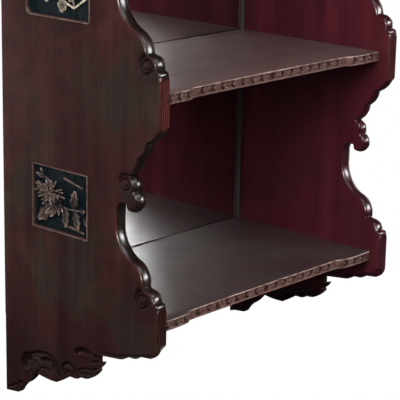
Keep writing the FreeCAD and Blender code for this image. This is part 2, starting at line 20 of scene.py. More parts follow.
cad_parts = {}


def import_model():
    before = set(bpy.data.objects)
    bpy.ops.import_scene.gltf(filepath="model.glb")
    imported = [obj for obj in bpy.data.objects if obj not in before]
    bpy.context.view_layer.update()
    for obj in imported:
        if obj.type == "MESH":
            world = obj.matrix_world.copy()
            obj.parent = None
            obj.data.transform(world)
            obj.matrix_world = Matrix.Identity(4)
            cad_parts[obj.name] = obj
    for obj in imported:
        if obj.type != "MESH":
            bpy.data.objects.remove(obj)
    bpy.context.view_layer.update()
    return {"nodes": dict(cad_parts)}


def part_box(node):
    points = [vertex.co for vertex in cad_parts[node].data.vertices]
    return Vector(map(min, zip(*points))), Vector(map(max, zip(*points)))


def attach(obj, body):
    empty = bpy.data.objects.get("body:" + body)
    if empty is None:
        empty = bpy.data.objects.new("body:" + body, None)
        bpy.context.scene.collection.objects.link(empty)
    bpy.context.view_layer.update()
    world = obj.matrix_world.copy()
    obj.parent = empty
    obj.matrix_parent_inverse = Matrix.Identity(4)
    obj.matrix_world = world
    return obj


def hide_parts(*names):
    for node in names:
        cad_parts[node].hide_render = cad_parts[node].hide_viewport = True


LOG = logging.getLogger("book_cabinet")
MM = 0.001
GROOVE_STEEPNESS = 1.3
Colour = tuple[float, float, float]
Spot = tuple[float, float]


class Side(Enum):
    """The two side boards: the value is the sign of X on that side."""

    LEFT = -1
    RIGHT = 1

    @property
    def word(self) -> str:
        """The side's name as the frame's nodes spell it."""
        return self.name.lower()


class Spray(Enum):
    """The two flower designs of the tablets."""

    CHRYSANTHEMUM = "chrysanthemum"
    PLUM = "plum"


# Node trees


class Tree:
    """A thin builder round a node tree, for shaders and geometry alike."""

    def __init__(self, tree: bpy.types.NodeTree) -> None:
        """Wrap a tree and empty it.

        Args:
            tree: The node tree to build in.
        """
        self.tree = tree
        tree.nodes.clear()

    def add(self, kind: str, sockets: Optional[dict] = None, **settings: object) -> bpy.types.Node:
        """Add a node, set its properties and feed its inputs.

        Args:
            kind: The node's type.
            sockets: Input name or index against a value or an output socket.
            settings: Properties of the node itself.

        Returns:
            The new node.
        """
        node = self.tree.nodes.new(kind)
        for name, setting in settings.items():
            setattr(node, name, setting)
        for key, feed in (sockets or {}).items():
            socket = node.inputs[key]
            if isinstance(feed, bpy.types.NodeSocket):
                self.tree.links.new(feed, socket)
            else:
                socket.default_value = (*feed, 1.0) if socket.type == "RGBA" else feed
        return node

    def math(self, operation: str, *feeds: object) -> bpy.types.NodeSocket:
        """A Math node's output, from numbers or sockets."""
        return self.add("ShaderNodeMath", dict(enumerate(feeds)), operation=operation).outputs[0]

    def mix(self, share: object, low: object, high: object) -> bpy.types.NodeSocket:
        """A colour mix's output, from a share and two colours as tuples or sockets."""
        return self.add("ShaderNodeMix", {0: share, 6: low, 7: high}, data_type="RGBA").outputs[2]

    def ramp(self, feed: bpy.types.NodeSocket, low: float, high: float) -> bpy.types.NodeSocket:
        """A smooth step of a value.

        Args:
            feed: The value.
            low: Where the step is 0.
            high: Where it is 1.

        Returns:
            The step's socket.
        """
        node = self.add("ShaderNodeMapRange", {"Value": feed, "From Min": low, "From Max": high},
                        interpolation_type="SMOOTHSTEP")
        return node.outputs[0]


def socket_group(name: str, inputs: Sequence[tuple[str, str, object]],
                 outputs: Sequence[tuple[str, str]]) -> tuple[Tree, bpy.types.Node, bpy.types.Node]:
    """Make an empty shader node group with named sockets.

    Args:
        name: The group's name.
        inputs: Name, socket type and default of each input.
        outputs: Name and socket type of each output.

    Returns:
        The builder, the group's input node and its output node.
    """
    group = bpy.data.node_groups.new(name, "ShaderNodeTree")
    for title, kind, default in inputs:
        socket = group.interface.new_socket(title, in_out="INPUT", socket_type=kind)
        if default is not None:
            socket.default_value = default
    for title, kind in outputs:
        group.interface.new_socket(title, in_out="OUTPUT", socket_type=kind)
    tree = Tree(group)
    return tree, tree.add("NodeGroupInput"), tree.add("NodeGroupOutput")


def new_material(name: str) -> tuple[bpy.types.Material, Tree]:
    """Make an empty material.

    Args:
        name: The material's name.

    Returns:
        The material and the builder of its nodes.
    """
    material = bpy.data.materials.new(name)
    material.use_nodes = True
    return material, Tree(material.node_tree)


class Effects:
    """The shader effects that several finishes share, each built once."""

    def __init__(self) -> None:
        """Build the grain and the scuff group."""
        self.grain = self._grain()
        self.scuff = self._scuff()

    @staticmethod
    def _grain() -> bpy.types.NodeTree:
        """Wood grain along one axis: long streaks, fine pores and slow bands of tone.

        Returns:
            The node group.
        """
        tree, start, end = socket_group(
            "wood_grain",
            [("Vector", "NodeSocketVector", None), ("Stretch", "NodeSocketVector", (1.0, 1.0, 0.06)),
             ("Scale", "NodeSocketFloat", 60.0)],
            [("Streak", "NodeSocketFloat"), ("Pore", "NodeSocketFloat"), ("Tone", "NodeSocketFloat")])
        drawn = tree.add("ShaderNodeVectorMath", {0: start.outputs["Vector"], 1: start.outputs["Stretch"]},
                         operation="MULTIPLY").outputs[0]
        streak = tree.add("ShaderNodeTexNoise", {"Vector": drawn, "Scale": start.outputs["Scale"],
                                                 "Detail": 6.0, "Roughness": 0.62, "Distortion": 0.35})
        finer = tree.math("MULTIPLY", start.outputs["Scale"], 7.0)
        pore = tree.add("ShaderNodeTexNoise", {"Vector": drawn, "Scale": finer, "Detail": 3.0,
                                               "Roughness": 0.6})
        wider = tree.math("MULTIPLY", start.outputs["Scale"], 0.22)
        tone = tree.add("ShaderNodeTexNoise", {"Vector": drawn, "Scale": wider, "Detail": 2.0})
        feeds = (("Streak", streak, 0.36, 0.66), ("Pore", pore, 0.50, 0.70), ("Tone", tone, 0.36, 0.64))
        for title, node, low, high in feeds:
            tree.tree.links.new(tree.ramp(node.outputs[0], low, high), end.inputs[title])
        return tree.tree

    @staticmethod
    def _scuff() -> bpy.types.NodeTree:
        """Handling marks: a mask of soft dull patches and a cloudy polish.

        Returns:
            The node group.
        """
        tree, start, end = socket_group(
            "handling_scuff", [("Vector", "NodeSocketVector", None), ("Scale", "NodeSocketFloat", 9.0)],
            [("Patch", "NodeSocketFloat"), ("Cloud", "NodeSocketFloat")])
        vector, scale = start.outputs["Vector"], start.outputs["Scale"]
        patch = tree.add("ShaderNodeTexNoise", {"Vector": vector, "Scale": scale, "Detail": 5.0,
                                                "Roughness": 0.6})
        closer = tree.math("MULTIPLY", scale, 3.3)
        cloud = tree.add("ShaderNodeTexNoise", {"Vector": vector, "Scale": closer, "Detail": 4.0})
        for title, node, low, high in (("Patch", patch, 0.42, 0.66), ("Cloud", cloud, 0.35, 0.65)):
            tree.tree.links.new(tree.ramp(node.outputs[0], low, high), end.inputs[title])
        return tree.tree


class Grain(Enum):
    """Which way a board's grain runs: the value is the squeeze of the pattern on each axis."""

    ALONG_X = (0.05, 1.0, 1.0)
    ALONG_Y = (1.0, 0.05, 1.0)
    ALONG_Z = (1.0, 1.0, 0.05)


@dataclass(frozen=True)
class Lacquer:
    """Carved hardwood under an old polished lacquer, lighter where it is worn and where highlights are
    painted, darkened where shade is painted.
    """

    name: str
    deep: Colour
    light: Colour
    worn: Colour = (0.20, 0.055, 0.035)
    patch: Colour = (0.030, 0.020, 0.016)
    patch_share: float = 0.0
    grain: Grain = Grain.ALONG_Z
    scale: float = 60.0
    scuff_scale: float = 9.0
    streak_depth: float = 0.55
    pore_depth: float = 0.35
    roughness: float = 0.34
    roughness_spread: float = 0.16
    specular: float = 0.4
    coat: float = 0.3
    coat_roughness: float = 0.16
    bump: float = 0.12

    def build(self, effects: Effects) -> bpy.types.Material:
        """Make the material.

        Args:
            effects: The shared node groups.

        Returns:
            The finished material.
        """
        material, tree = new_material(self.name)
        where = tree.add("ShaderNodeTexCoord").outputs["Object"]
        grain = tree.add("ShaderNodeGroup", {"Vector": where, "Stretch": self.grain.value,
                                             "Scale": self.scale}, node_tree=effects.grain)
        scuff = tree.add("ShaderNodeGroup", {"Vector": where, "Scale": self.scuff_scale},
                         node_tree=effects.scuff)
        wear = tree.add("ShaderNodeAttribute", attribute_name="wear").outputs["Fac"]
        hollow = tree.add("ShaderNodeAttribute", attribute_name="hollow").outputs["Fac"]
        dark = tuple(c * 0.45 for c in self.deep)
        tone = tree.mix(grain.outputs["Tone"], self.deep, self.light)
        tone = tree.mix(tree.math("MULTIPLY", scuff.outputs["Patch"], self.patch_share), tone, self.patch)
        for title, share in (("Streak", self.streak_depth), ("Pore", self.pore_depth)):
            tone = tree.mix(tree.math("MULTIPLY", grain.outputs[title], share), tone, dark)
        # Wear and painted highlights lighten the tone towards the worn tone; painted shade darkens it
        # towards a fifth of the deep tone, roughens it and takes off its coat.
        broken = tree.math("MULTIPLY", wear, tree.math("ADD", 0.2, tree.math(
            "MULTIPLY", scuff.outputs["Cloud"], 0.8)))
        colour = tree.mix(hollow, tree.mix(broken, tone, self.worn), tuple(c * 0.2 for c in self.deep))
        spread = tree.math("MULTIPLY", scuff.outputs["Patch"], self.roughness_spread)
        rough = tree.math("ADD", self.roughness, tree.math("ADD", spread, tree.math(
            "MULTIPLY", grain.outputs["Pore"], 0.08)))
        rough = tree.math("MAXIMUM", rough, tree.math("MULTIPLY", hollow, 0.95))
        polish = tree.math("MULTIPLY", tree.math("SUBTRACT", 1.0, hollow), self.coat)
        height = tree.math("SUBTRACT", tree.math("MULTIPLY", scuff.outputs["Cloud"], 0.25),
                           tree.math("ADD", grain.outputs["Pore"],
                                     tree.math("MULTIPLY", grain.outputs["Streak"], 0.6)))
        bump = tree.add("ShaderNodeBump", {"Strength": self.bump, "Distance": 0.0006, "Height": height})
        shader = tree.add("ShaderNodeBsdfPrincipled", {
            "Base Color": colour, "Roughness": rough, "Normal": bump.outputs[0],
            "Specular IOR Level": self.specular, "Coat Weight": polish,
            "Coat Roughness": self.coat_roughness})
        tree.add("ShaderNodeOutputMaterial", {"Surface": shader.outputs[0]})
        return material


@dataclass(frozen=True)
class MirrorPlate:
    """Old silvered glass: near-clear, with faint clouding in the silver."""

    name: str
    silver: Colour = (0.63, 0.625, 0.62)

    def build(self, effects: Effects) -> bpy.types.Material:
        """Make the material.

        Args:
            effects: The shared node groups.

        Returns:
            The finished material.
        """
        material, tree = new_material(self.name)
        where = tree.add("ShaderNodeTexCoord").outputs["Object"]
        scuff = tree.add("ShaderNodeGroup", {"Vector": where, "Scale": 11.0}, node_tree=effects.scuff)
        colour = tree.mix(tree.math("MULTIPLY", scuff.outputs["Cloud"], 0.35), self.silver,
                          tuple(c * 0.7 for c in self.silver))
        shader = tree.add("ShaderNodeBsdfPrincipled", {
            "Base Color": colour, "Roughness": 0.0, "Metallic": 1.0})
        tree.add("ShaderNodeOutputMaterial", {"Surface": shader.outputs[0]})
        return material


class Finishes:
    """Every material of the cabinet, made once."""

    def __init__(self) -> None:
        """Build the shared effects and the materials."""
        effects = Effects()

        def lacquer(name: str, deep: Colour, light: Colour, **looks: object) -> bpy.types.Material:
            """Build one lacquer."""
            return Lacquer(name, deep, light, **looks).build(effects)

        self.outer = lacquer("side_outer_lacquer", (0.0280, 0.0092, 0.0092), (0.050, 0.0155, 0.0165),
                             patch=(0.026, 0.0200, 0.0155), patch_share=1.0, worn=(0.12, 0.036, 0.032),
                             scale=34.0, scuff_scale=11.0, streak_depth=0.5, roughness=0.48,
                             specular=0.07, coat=0.0)
        self.inner = lacquer("side_inner_lacquer", (0.061, 0.0078, 0.0138), (0.103, 0.0150, 0.0250),
                             patch=(0.034, 0.007, 0.011), patch_share=0.6, scale=30.0,
                             roughness=0.42, specular=0.08, coat=0.0)
        edge_looks = {"scuff_scale": 30.0, "roughness": 0.30, "roughness_spread": 0.1, "specular": 0.2,
                      "coat": 0.34, "coat_roughness": 0.14}
        self.edge = lacquer("carved_edge_lacquer", (0.0075, 0.0042, 0.0038), (0.0145, 0.0072, 0.0064),
                            worn=(0.105, 0.024, 0.020), **edge_looks)
        self.red_edge = lacquer("carved_edge_red_lacquer", (0.034, 0.0060, 0.0095), (0.056, 0.0100, 0.0155),
                                worn=(0.100, 0.024, 0.030), **edge_looks)

        def board_polish(name: str, share: float, coat_roughness: float) -> bpy.types.Material:
            """A shelf's polish, its tone scaled to paint in the light on that shelf.

            Args:
                name: Its name.
                share: Its painted tone against the middle tone, standing in for light and shade.
                coat_roughness: How dull its coat is.

            Returns:
                The finished material.
            """
            tones = [tuple(c * share for c in tone) for tone in
                     ((0.034, 0.0170, 0.0168), (0.058, 0.0280, 0.0270), (0.026, 0.019, 0.018))]
            return lacquer(name, *tones[:2], patch=tones[2], patch_share=0.6, grain=Grain.ALONG_X,
                           scale=46.0, roughness=0.48, specular=0.7, coat=1.0,
                           coat_roughness=coat_roughness, bump=0.16)

        # Painted light: one polish in two copies, lighter for the upper shelves and darker for the lowest
        # shelf.
        self.board = board_polish("shelf_board_polish", 2.2, 0.35)
        self.low_board = board_polish("low_shelf_board_polish", 0.9, 0.31)
        # The strip's light tone is painted onto its top fillet as a highlight.
        self.strip = lacquer("shelf_strip_carving", (0.066, 0.0240, 0.0190), (0.115, 0.046, 0.038),
                             worn=(0.60, 0.45, 0.41), grain=Grain.ALONG_X, scuff_scale=24.0,
                             roughness=0.42, specular=0.15, coat=0.05)
        self.frame = lacquer("tablet_frame_wood", (0.044, 0.023, 0.019), (0.066, 0.036, 0.030),
                             worn=(0.145, 0.095, 0.083), grain=Grain.ALONG_Y, scuff_scale=30.0,
                             roughness=0.36, specular=0.2, coat=0.08)
        self.bead = lacquer("mirror_bead_wood", (0.020, 0.010, 0.010), (0.036, 0.018, 0.017),
                            worn=(0.09, 0.07, 0.06), scuff_scale=22.0, roughness=0.34)
        self.backing = lacquer("backing_board_stain", (0.10, 0.055, 0.032), (0.19, 0.11, 0.065),
                               scale=40.0, roughness=0.72, specular=0.2, coat=0.0, bump=0.45,
                               pore_depth=0.6)
        self.ground = lacquer("tablet_ground_lacquer", (0.002, 0.0060, 0.0070), (0.005, 0.012, 0.014),
                              patch=(0.008, 0.006, 0.014), patch_share=0.6, scuff_scale=40.0,
                              roughness=0.36, specular=0.12, coat=0.03, bump=0.4)
        # The light tones of petals, leaves, twigs and blossoms are painted highlights at their tips and
        # crests.
        self.petal = lacquer("tablet_petal_gilt", (0.030, 0.008, 0.005), (0.100, 0.040, 0.024),
                             worn=(0.90, 0.76, 0.62), scuff_scale=120.0, roughness=0.30, coat=0.12)
        self.leaf = lacquer("tablet_leaf_gilt", (0.026, 0.017, 0.010), (0.055, 0.036, 0.023),
                            worn=(0.52, 0.37, 0.29), patch=(0.09, 0.030, 0.032), patch_share=0.8,
                            scuff_scale=60.0, roughness=0.34, coat=0.1)
        self.twig = lacquer("tablet_twig_gilt", (0.026, 0.0175, 0.015), (0.048, 0.032, 0.027),
                            worn=(0.15, 0.105, 0.090), scuff_scale=60.0, roughness=0.36, coat=0.08)
        self.blossom = lacquer("tablet_blossom_ivory", (0.16, 0.125, 0.08), (0.30, 0.25, 0.165),
                               worn=(0.85, 0.79, 0.63), scuff_scale=90.0, roughness=0.4, coat=0.1)
        self.mirror = MirrorPlate("mirror_silver").build(effects)
        self.glass_edge = lacquer("mirror_ground_edge", (0.006, 0.007, 0.007), (0.010, 0.011, 0.011),
                                  scuff_scale=60.0, roughness=0.2, specular=0.5)


# Mesh helpers


def linked(name: str, data: bpy.types.ID) -> bpy.types.Object:
    """Put a new object with some data into the scene."""
    item = bpy.data.objects.new(name, data)
    bpy.context.scene.collection.objects.link(item)
    return item


def ring_faces(rows: int, count: int, closed: bool = False) -> list[list[int]]:
    """Quads between rows of points that each run round a ring.

    Args:
        rows: How many rows there are.
        count: Points in each row.
        closed: Whether the last row joins the first one.

    Returns:
        The quads.
    """
    return [[r * count + i, r * count + (i + 1) % count, (r + 1) % rows * count + (i + 1) % count,
             (r + 1) % rows * count + i] for r in range(rows if closed else rows - 1) for i in range(count)]


def prism_faces(count: int) -> list[list[int]]:
    """The two ends and the sides of a prism whose ends have so many points."""
    return [list(range(count)), list(range(2 * count - 1, count - 1, -1))] + ring_faces(2, count)


def new_piece(name: str, verts: np.ndarray, faces: Sequence[Sequence[int]],
              materials: Sequence[bpy.types.Material]) -> bpy.types.Object:
    """Make a mesh object at the origin from points and faces.

    Args:
        name: The piece's name.
        verts: Points in metres, one row each.
        faces: Indices of each face.
        materials: Its material slots.

    Returns:
        The linked object.
    """
    mesh = bpy.data.meshes.new(name)
    mesh.from_pydata([tuple(v) for v in verts], [], [tuple(f) for f in faces])
    mesh.update()
    for material in materials:
        mesh.materials.append(material)
    return linked(name, mesh)


def tidy_mesh(piece: bpy.types.Object, sharp_degrees: float = 35.0, merge: float = 1e-6) -> None:
    """Merge doubled points, turn faces outwards and shade the mesh smooth up to an angle.

    Args:
        piece: The mesh object.
        sharp_degrees: Edges turned by more stay sharp.
        merge: Distance within which points are one.
    """
    work = bmesh.new()
    work.from_mesh(piece.data)
    bmesh.ops.remove_doubles(work, verts=work.verts, dist=merge)
    bmesh.ops.dissolve_degenerate(work, edges=work.edges, dist=merge / 10)
    bmesh.ops.recalc_face_normals(work, faces=work.faces)
    work.to_mesh(piece.data)
    work.free()
    piece.data.shade_smooth()
    piece.data.set_sharp_from_angle(angle=math.radians(sharp_degrees))


def set_attribute(piece: bpy.types.Object, name: str, values: np.ndarray) -> None:
    """Store one number per point on a mesh.

    Args:
        piece: The mesh object.
        name: The attribute's name.
        values: One value per point.
    """
    data = piece.data.attributes.get(name) or piece.data.attributes.new(name, "FLOAT", "POINT")
    data.data.foreach_set("value", np.asarray(values, np.float32))


def read_attribute(piece: bpy.types.Object, name: str) -> np.ndarray:
    """Read one number per point from a mesh.

    Args:
        piece: The mesh object.
        name: The attribute's name.

    Returns:
        One value per point.
    """
    values = np.empty(len(piece.data.vertices), np.float32)
    piece.data.attributes[name].data.foreach_get("value", values)
    return values


def points_of(piece: bpy.types.Object) -> np.ndarray:
    """The points of a mesh, one row each."""
    flat = np.empty(len(piece.data.vertices) * 3, np.float32)
    piece.data.vertices.foreach_get("co", flat)
    return flat.reshape(-1, 3).astype(float)


def finished_mesh(piece: bpy.types.Object) -> None:
    """Turn a piece's live modifiers into its plain mesh and take them off.

    Args:
        piece: The mesh object.
    """
    graph = bpy.context.evaluated_depsgraph_get()
    mesh = bpy.data.meshes.new_from_object(piece.evaluated_get(graph), depsgraph=graph)
    piece.modifiers.clear()
    piece.data = mesh


def join(name: str, pieces: Sequence[bpy.types.Object]) -> bpy.types.Object:
    """Join mesh objects that sit at the origin into one, keeping their materials and attributes.

    Args:
        name: The whole's name.
        pieces: The objects.

    Returns:
        The whole.
    """
    with bpy.context.temp_override(active_object=pieces[0], selected_editable_objects=list(pieces)):
        bpy.ops.object.join()
    pieces[0].name = name
    pieces[0].data.name = name
    return pieces[0]


def drop_empty_slots(piece: bpy.types.Object) -> None:
    """Take out a mesh's material slots that hold nothing.

    Args:
        piece: The mesh object.
    """
    mesh = piece.data
    kept = [number for number, material in enumerate(mesh.materials) if material]
    if len(kept) == len(mesh.materials):
        return
    index = np.empty(len(mesh.polygons), np.int32)
    mesh.polygons.foreach_get("material_index", index)
    moved = np.zeros(len(mesh.materials), np.int32)
    moved[kept] = np.arange(len(kept))
    materials = [mesh.materials[number] for number in kept]
    mesh.materials.clear()
    for material in materials:
        mesh.materials.append(material)
    mesh.polygons.foreach_set("material_index", moved[index])


def keep_slot(piece: bpy.types.Object, node: str) -> None:
    """Let a piece ride on the cabinet, stand for its node and take its finish from a slot.

    Args:
        piece: The finished piece.
        node: The frame's node that it stands for.
    """
    drop_empty_slots(piece)
    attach(piece, "root")
    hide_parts(node)
    LOG.info("%s: %d faces", piece.name, len(piece.data.polygons))


def prism_piece(name: str, outline: np.ndarray, start: float, end: float) -> bpy.types.Object:
    """An outline in Y and Z drawn out along X, used as a cutting tool.

    Args:
        name: The tool's name.
        outline: Its points, one row each.
        start: Where it starts along X.
        end: Where it ends.

    Returns:
        The tool.
    """
    count = len(outline)
    verts = np.concatenate([np.column_stack([np.full(count, x), outline]) for x in (start, end)])
    piece = new_piece(name, verts, prism_faces(count), [])
    tidy_mesh(piece)
    return piece


def cut_away(piece: bpy.types.Object, tools: Sequence[bpy.types.Object]) -> None:
    """Cut tools out of a piece in one go and delete them.

    Args:
        piece: The closed piece.
        tools: The closed tools.
    """
    group = bpy.data.collections.new("cutting_tools")
    for tool in tools:
        group.objects.link(tool)
    modifier = piece.modifiers.new("cut", "BOOLEAN")
    modifier.operation, modifier.solver = "DIFFERENCE", "MANIFOLD"
    modifier.operand_type, modifier.collection = "COLLECTION", group
    finished_mesh(piece)
    for tool in tools:
        bpy.data.objects.remove(tool)
    bpy.data.collections.remove(group)


# Outlines


def arc_points(start: Spot, middle: Spot, end: Spot, step: float) -> list[Spot]:
    """Points along the arc through three points, without its start.

    Args:
        start: The arc's first point.
        middle: Any point on the arc.
        end: The arc's last point.
        step: Distance between the points.

    Returns:
        The points up to and with the end.
    """
    (ax, ay), (bx, by), (cx, cy) = start, middle, end
    turn = 2 * (ax * (by - cy) + bx * (cy - ay) + cx * (ay - by))
    squares = (ax * ax + ay * ay, bx * bx + by * by, cx * cx + cy * cy)
    ox = (squares[0] * (by - cy) + squares[1] * (cy - ay) + squares[2] * (ay - by)) / turn
    oy = (squares[0] * (cx - bx) + squares[1] * (ax - cx) + squares[2] * (bx - ax)) / turn
    radius = math.hypot(ax - ox, ay - oy)
    first, via, last = (math.atan2(y - oy, x - ox) for x, y in (start, middle, end))
    sweep = (last - first) % (2 * math.pi)
    if (via - first) % (2 * math.pi) > sweep:
        sweep -= 2 * math.pi
    count = max(2, math.ceil(abs(sweep) * radius / step))
    angles = [first + sweep * (i + 1) / count for i in range(count)]
    return [(ox + radius * math.cos(a), oy + radius * math.sin(a)) for a in angles]


def line_points(start: Spot, end: Spot, step: float) -> list[Spot]:
    """Evenly spaced points along a line, without its start."""
    count = max(1, math.ceil(math.dist(start, end) / step))
    return [(start[0] + (end[0] - start[0]) * (i + 1) / count,
             start[1] + (end[1] - start[1]) * (i + 1) / count) for i in range(count)]


def run_points(start: Spot, rows: Sequence, spot: Callable[[float, float], Spot],
               step: float) -> list[Spot]:
    """Points along rows of shares, each an end point or an arc's middle and end.

    Args:
        start: The run's first point.
        rows: The rows of shares.
        spot: Turns a pair of shares into a point.
        step: Distance between the points.

    Returns:
        The points without the start.
    """
    points: list[Spot] = []
    here = start
    for row in rows:
        ends = [spot(*shares) for shares in row]
        points += line_points(here, ends[0], step) if len(ends) == 1 else arc_points(here, *ends, step)
        here = ends[-1]
    return points


def distance_to_runs(points: np.ndarray, starts: np.ndarray, ends: np.ndarray) -> np.ndarray:
    """Least distance from each of a few points to any of a few line pieces.

    Args:
        points: The points, one row each.
        starts: First end of each line piece.
        ends: Other end of each line piece.

    Returns:
        One distance per point.
    """
    along = ends - starts
    length = np.maximum((along ** 2).sum(1), 1e-18)
    some = points[:, None, :] - starts[None]
    share = np.clip((some * along[None]).sum(2) / length[None], 0, 1)
    gap = some - share[..., None] * along[None]
    return np.sqrt((gap ** 2).sum(2).min(1))


class Fence:
    """Answers how far points lie from a closed outline."""

    def __init__(self, outline: np.ndarray) -> None:
        """Stand a wall on each stretch of the outline.

        Args:
            outline: The outline's points, one row each.
        """
        self.outline = outline
        count = len(outline)
        verts = [(x, y, level) for level in (-1.0, 1.0) for x, y in outline]
        self.tree = BVHTree.FromPolygons(verts, ring_faces(2, count))

    def nearest(self, points: np.ndarray) -> tuple[np.ndarray, np.ndarray]:
        """Distance to the outline, and the number of the nearest outline point.

        Args:
            points: The points to ask about, one row each.

        Returns:
            Distances and outline point numbers.
        """
        gaps = np.empty(len(points))
        index = np.empty(len(points), int)
        for number, (x, y) in enumerate(points):
            _, _, index[number], gaps[number] = self.tree.find_nearest((x, y, 0.0))
        after = (index + 1) % len(self.outline)
        ahead = ((points - self.outline[after]) ** 2).sum(1)
        behind = ((points - self.outline[index]) ** 2).sum(1)
        return gaps, np.where(ahead < behind, after, index)


def inside_outline(points: np.ndarray, outline: np.ndarray) -> np.ndarray:
    """Which points lie within a closed outline.

    Args:
        points: The points, one row each.
        outline: The outline's points, one row each.

    Returns:
        One answer per point.
    """
    inside = np.zeros(len(points), bool)
    for (ax, ay), (bx, by) in zip(outline, np.roll(outline, -1, 0)):
        if ay == by:
            continue
        crosses = (ay > points[:, 1]) != (by > points[:, 1])
        inside ^= crosses & (points[:, 0] < (bx - ax) * (points[:, 1] - ay) / (by - ay) + ax)
    return inside


@dataclass
class Cut:
    """A carved line on a board's face: a groove, or a ridge where its depth is negative."""

    points: Sequence[Spot]
    half_width: float
    depth: float

    def sink(self, where: np.ndarray) -> np.ndarray:
        """How far the line sinks the face at some points.

        Args:
            where: The points, one row each.

        Returns:
            The depth at each point.
        """
        line = np.array(self.points, float)
        reach = self.half_width * 2.5
        near = ((where > line.min(0) - reach) & (where < line.max(0) + reach)).all(1)
        depths = np.zeros(len(where))
        if near.any():
            gap = distance_to_runs(where[near], line[:-1], line[1:])
            depths[near] = self.depth * np.exp(-(gap / self.half_width) ** 2 * GROOVE_STEEPNESS)
        return depths


@dataclass
class Volute:
    """A scroll carved into a face: a groove that winds in, wide and deep at first, round a raised eye.

    A positive turn winds clockwise as the face is drawn.
    """

    centre: Spot
    radius: float
    start_degrees: float
    turns: float = 1.9
    shrink: float = 0.56
    depth: float = 3.0 * MM
    wide: float = 4.2 * MM
    tight: float = 1.1 * MM
    eye: float = 2.0 * MM
    eye_rise: float = 0.7 * MM
    turn: int = 1
    fade_degrees: float = 70.0

    def sink(self, where: np.ndarray) -> np.ndarray:
        """How far the scroll sinks the face at some points.

        Args:
            where: The points, one row each.

        Returns:
            The depth at each point.
        """
        offset = where - np.array(self.centre)
        reach = np.hypot(offset[:, 0], offset[:, 1])
        degrees = np.degrees(np.arctan2(offset[:, 1], offset[:, 0]))
        turned = ((self.start_degrees - degrees) * self.turn) % 360
        total = self.turns * 360
        depths = np.zeros(len(where))
        for lap in range(math.ceil(self.turns)):
            wound = turned + 360 * lap
            left = np.clip(1 - wound / total, 0, 1)
            gap = reach - self.radius * self.shrink ** (wound / 360)
            width = np.where(gap > 0, self.tight + (self.wide - self.tight) * left ** 1.3, self.tight)
            deep = self.depth * (0.5 + 0.5 * left) * np.clip((total - wound) / self.fade_degrees, 0, 1)
            depths = np.maximum(depths, deep * np.exp(-(gap / width) ** 2 * GROOVE_STEEPNESS))
        return depths - self.eye_rise * np.exp(-(reach / self.eye) ** 2)


@dataclass
class Zone:
    """A rectangle of a board's face that gets fine points for its carving."""

    low: Spot
    high: Spot
    step: float

    def points(self) -> np.ndarray:
        """A staggered grid over the rectangle, one row each."""
        rows = np.arange(self.low[1], self.high[1], self.step * 0.87)
        columns = np.arange(self.low[0], self.high[0], self.step)
        return np.array([(x + self.step / 2 * (i % 2), y) for i, y in enumerate(rows) for x in columns])


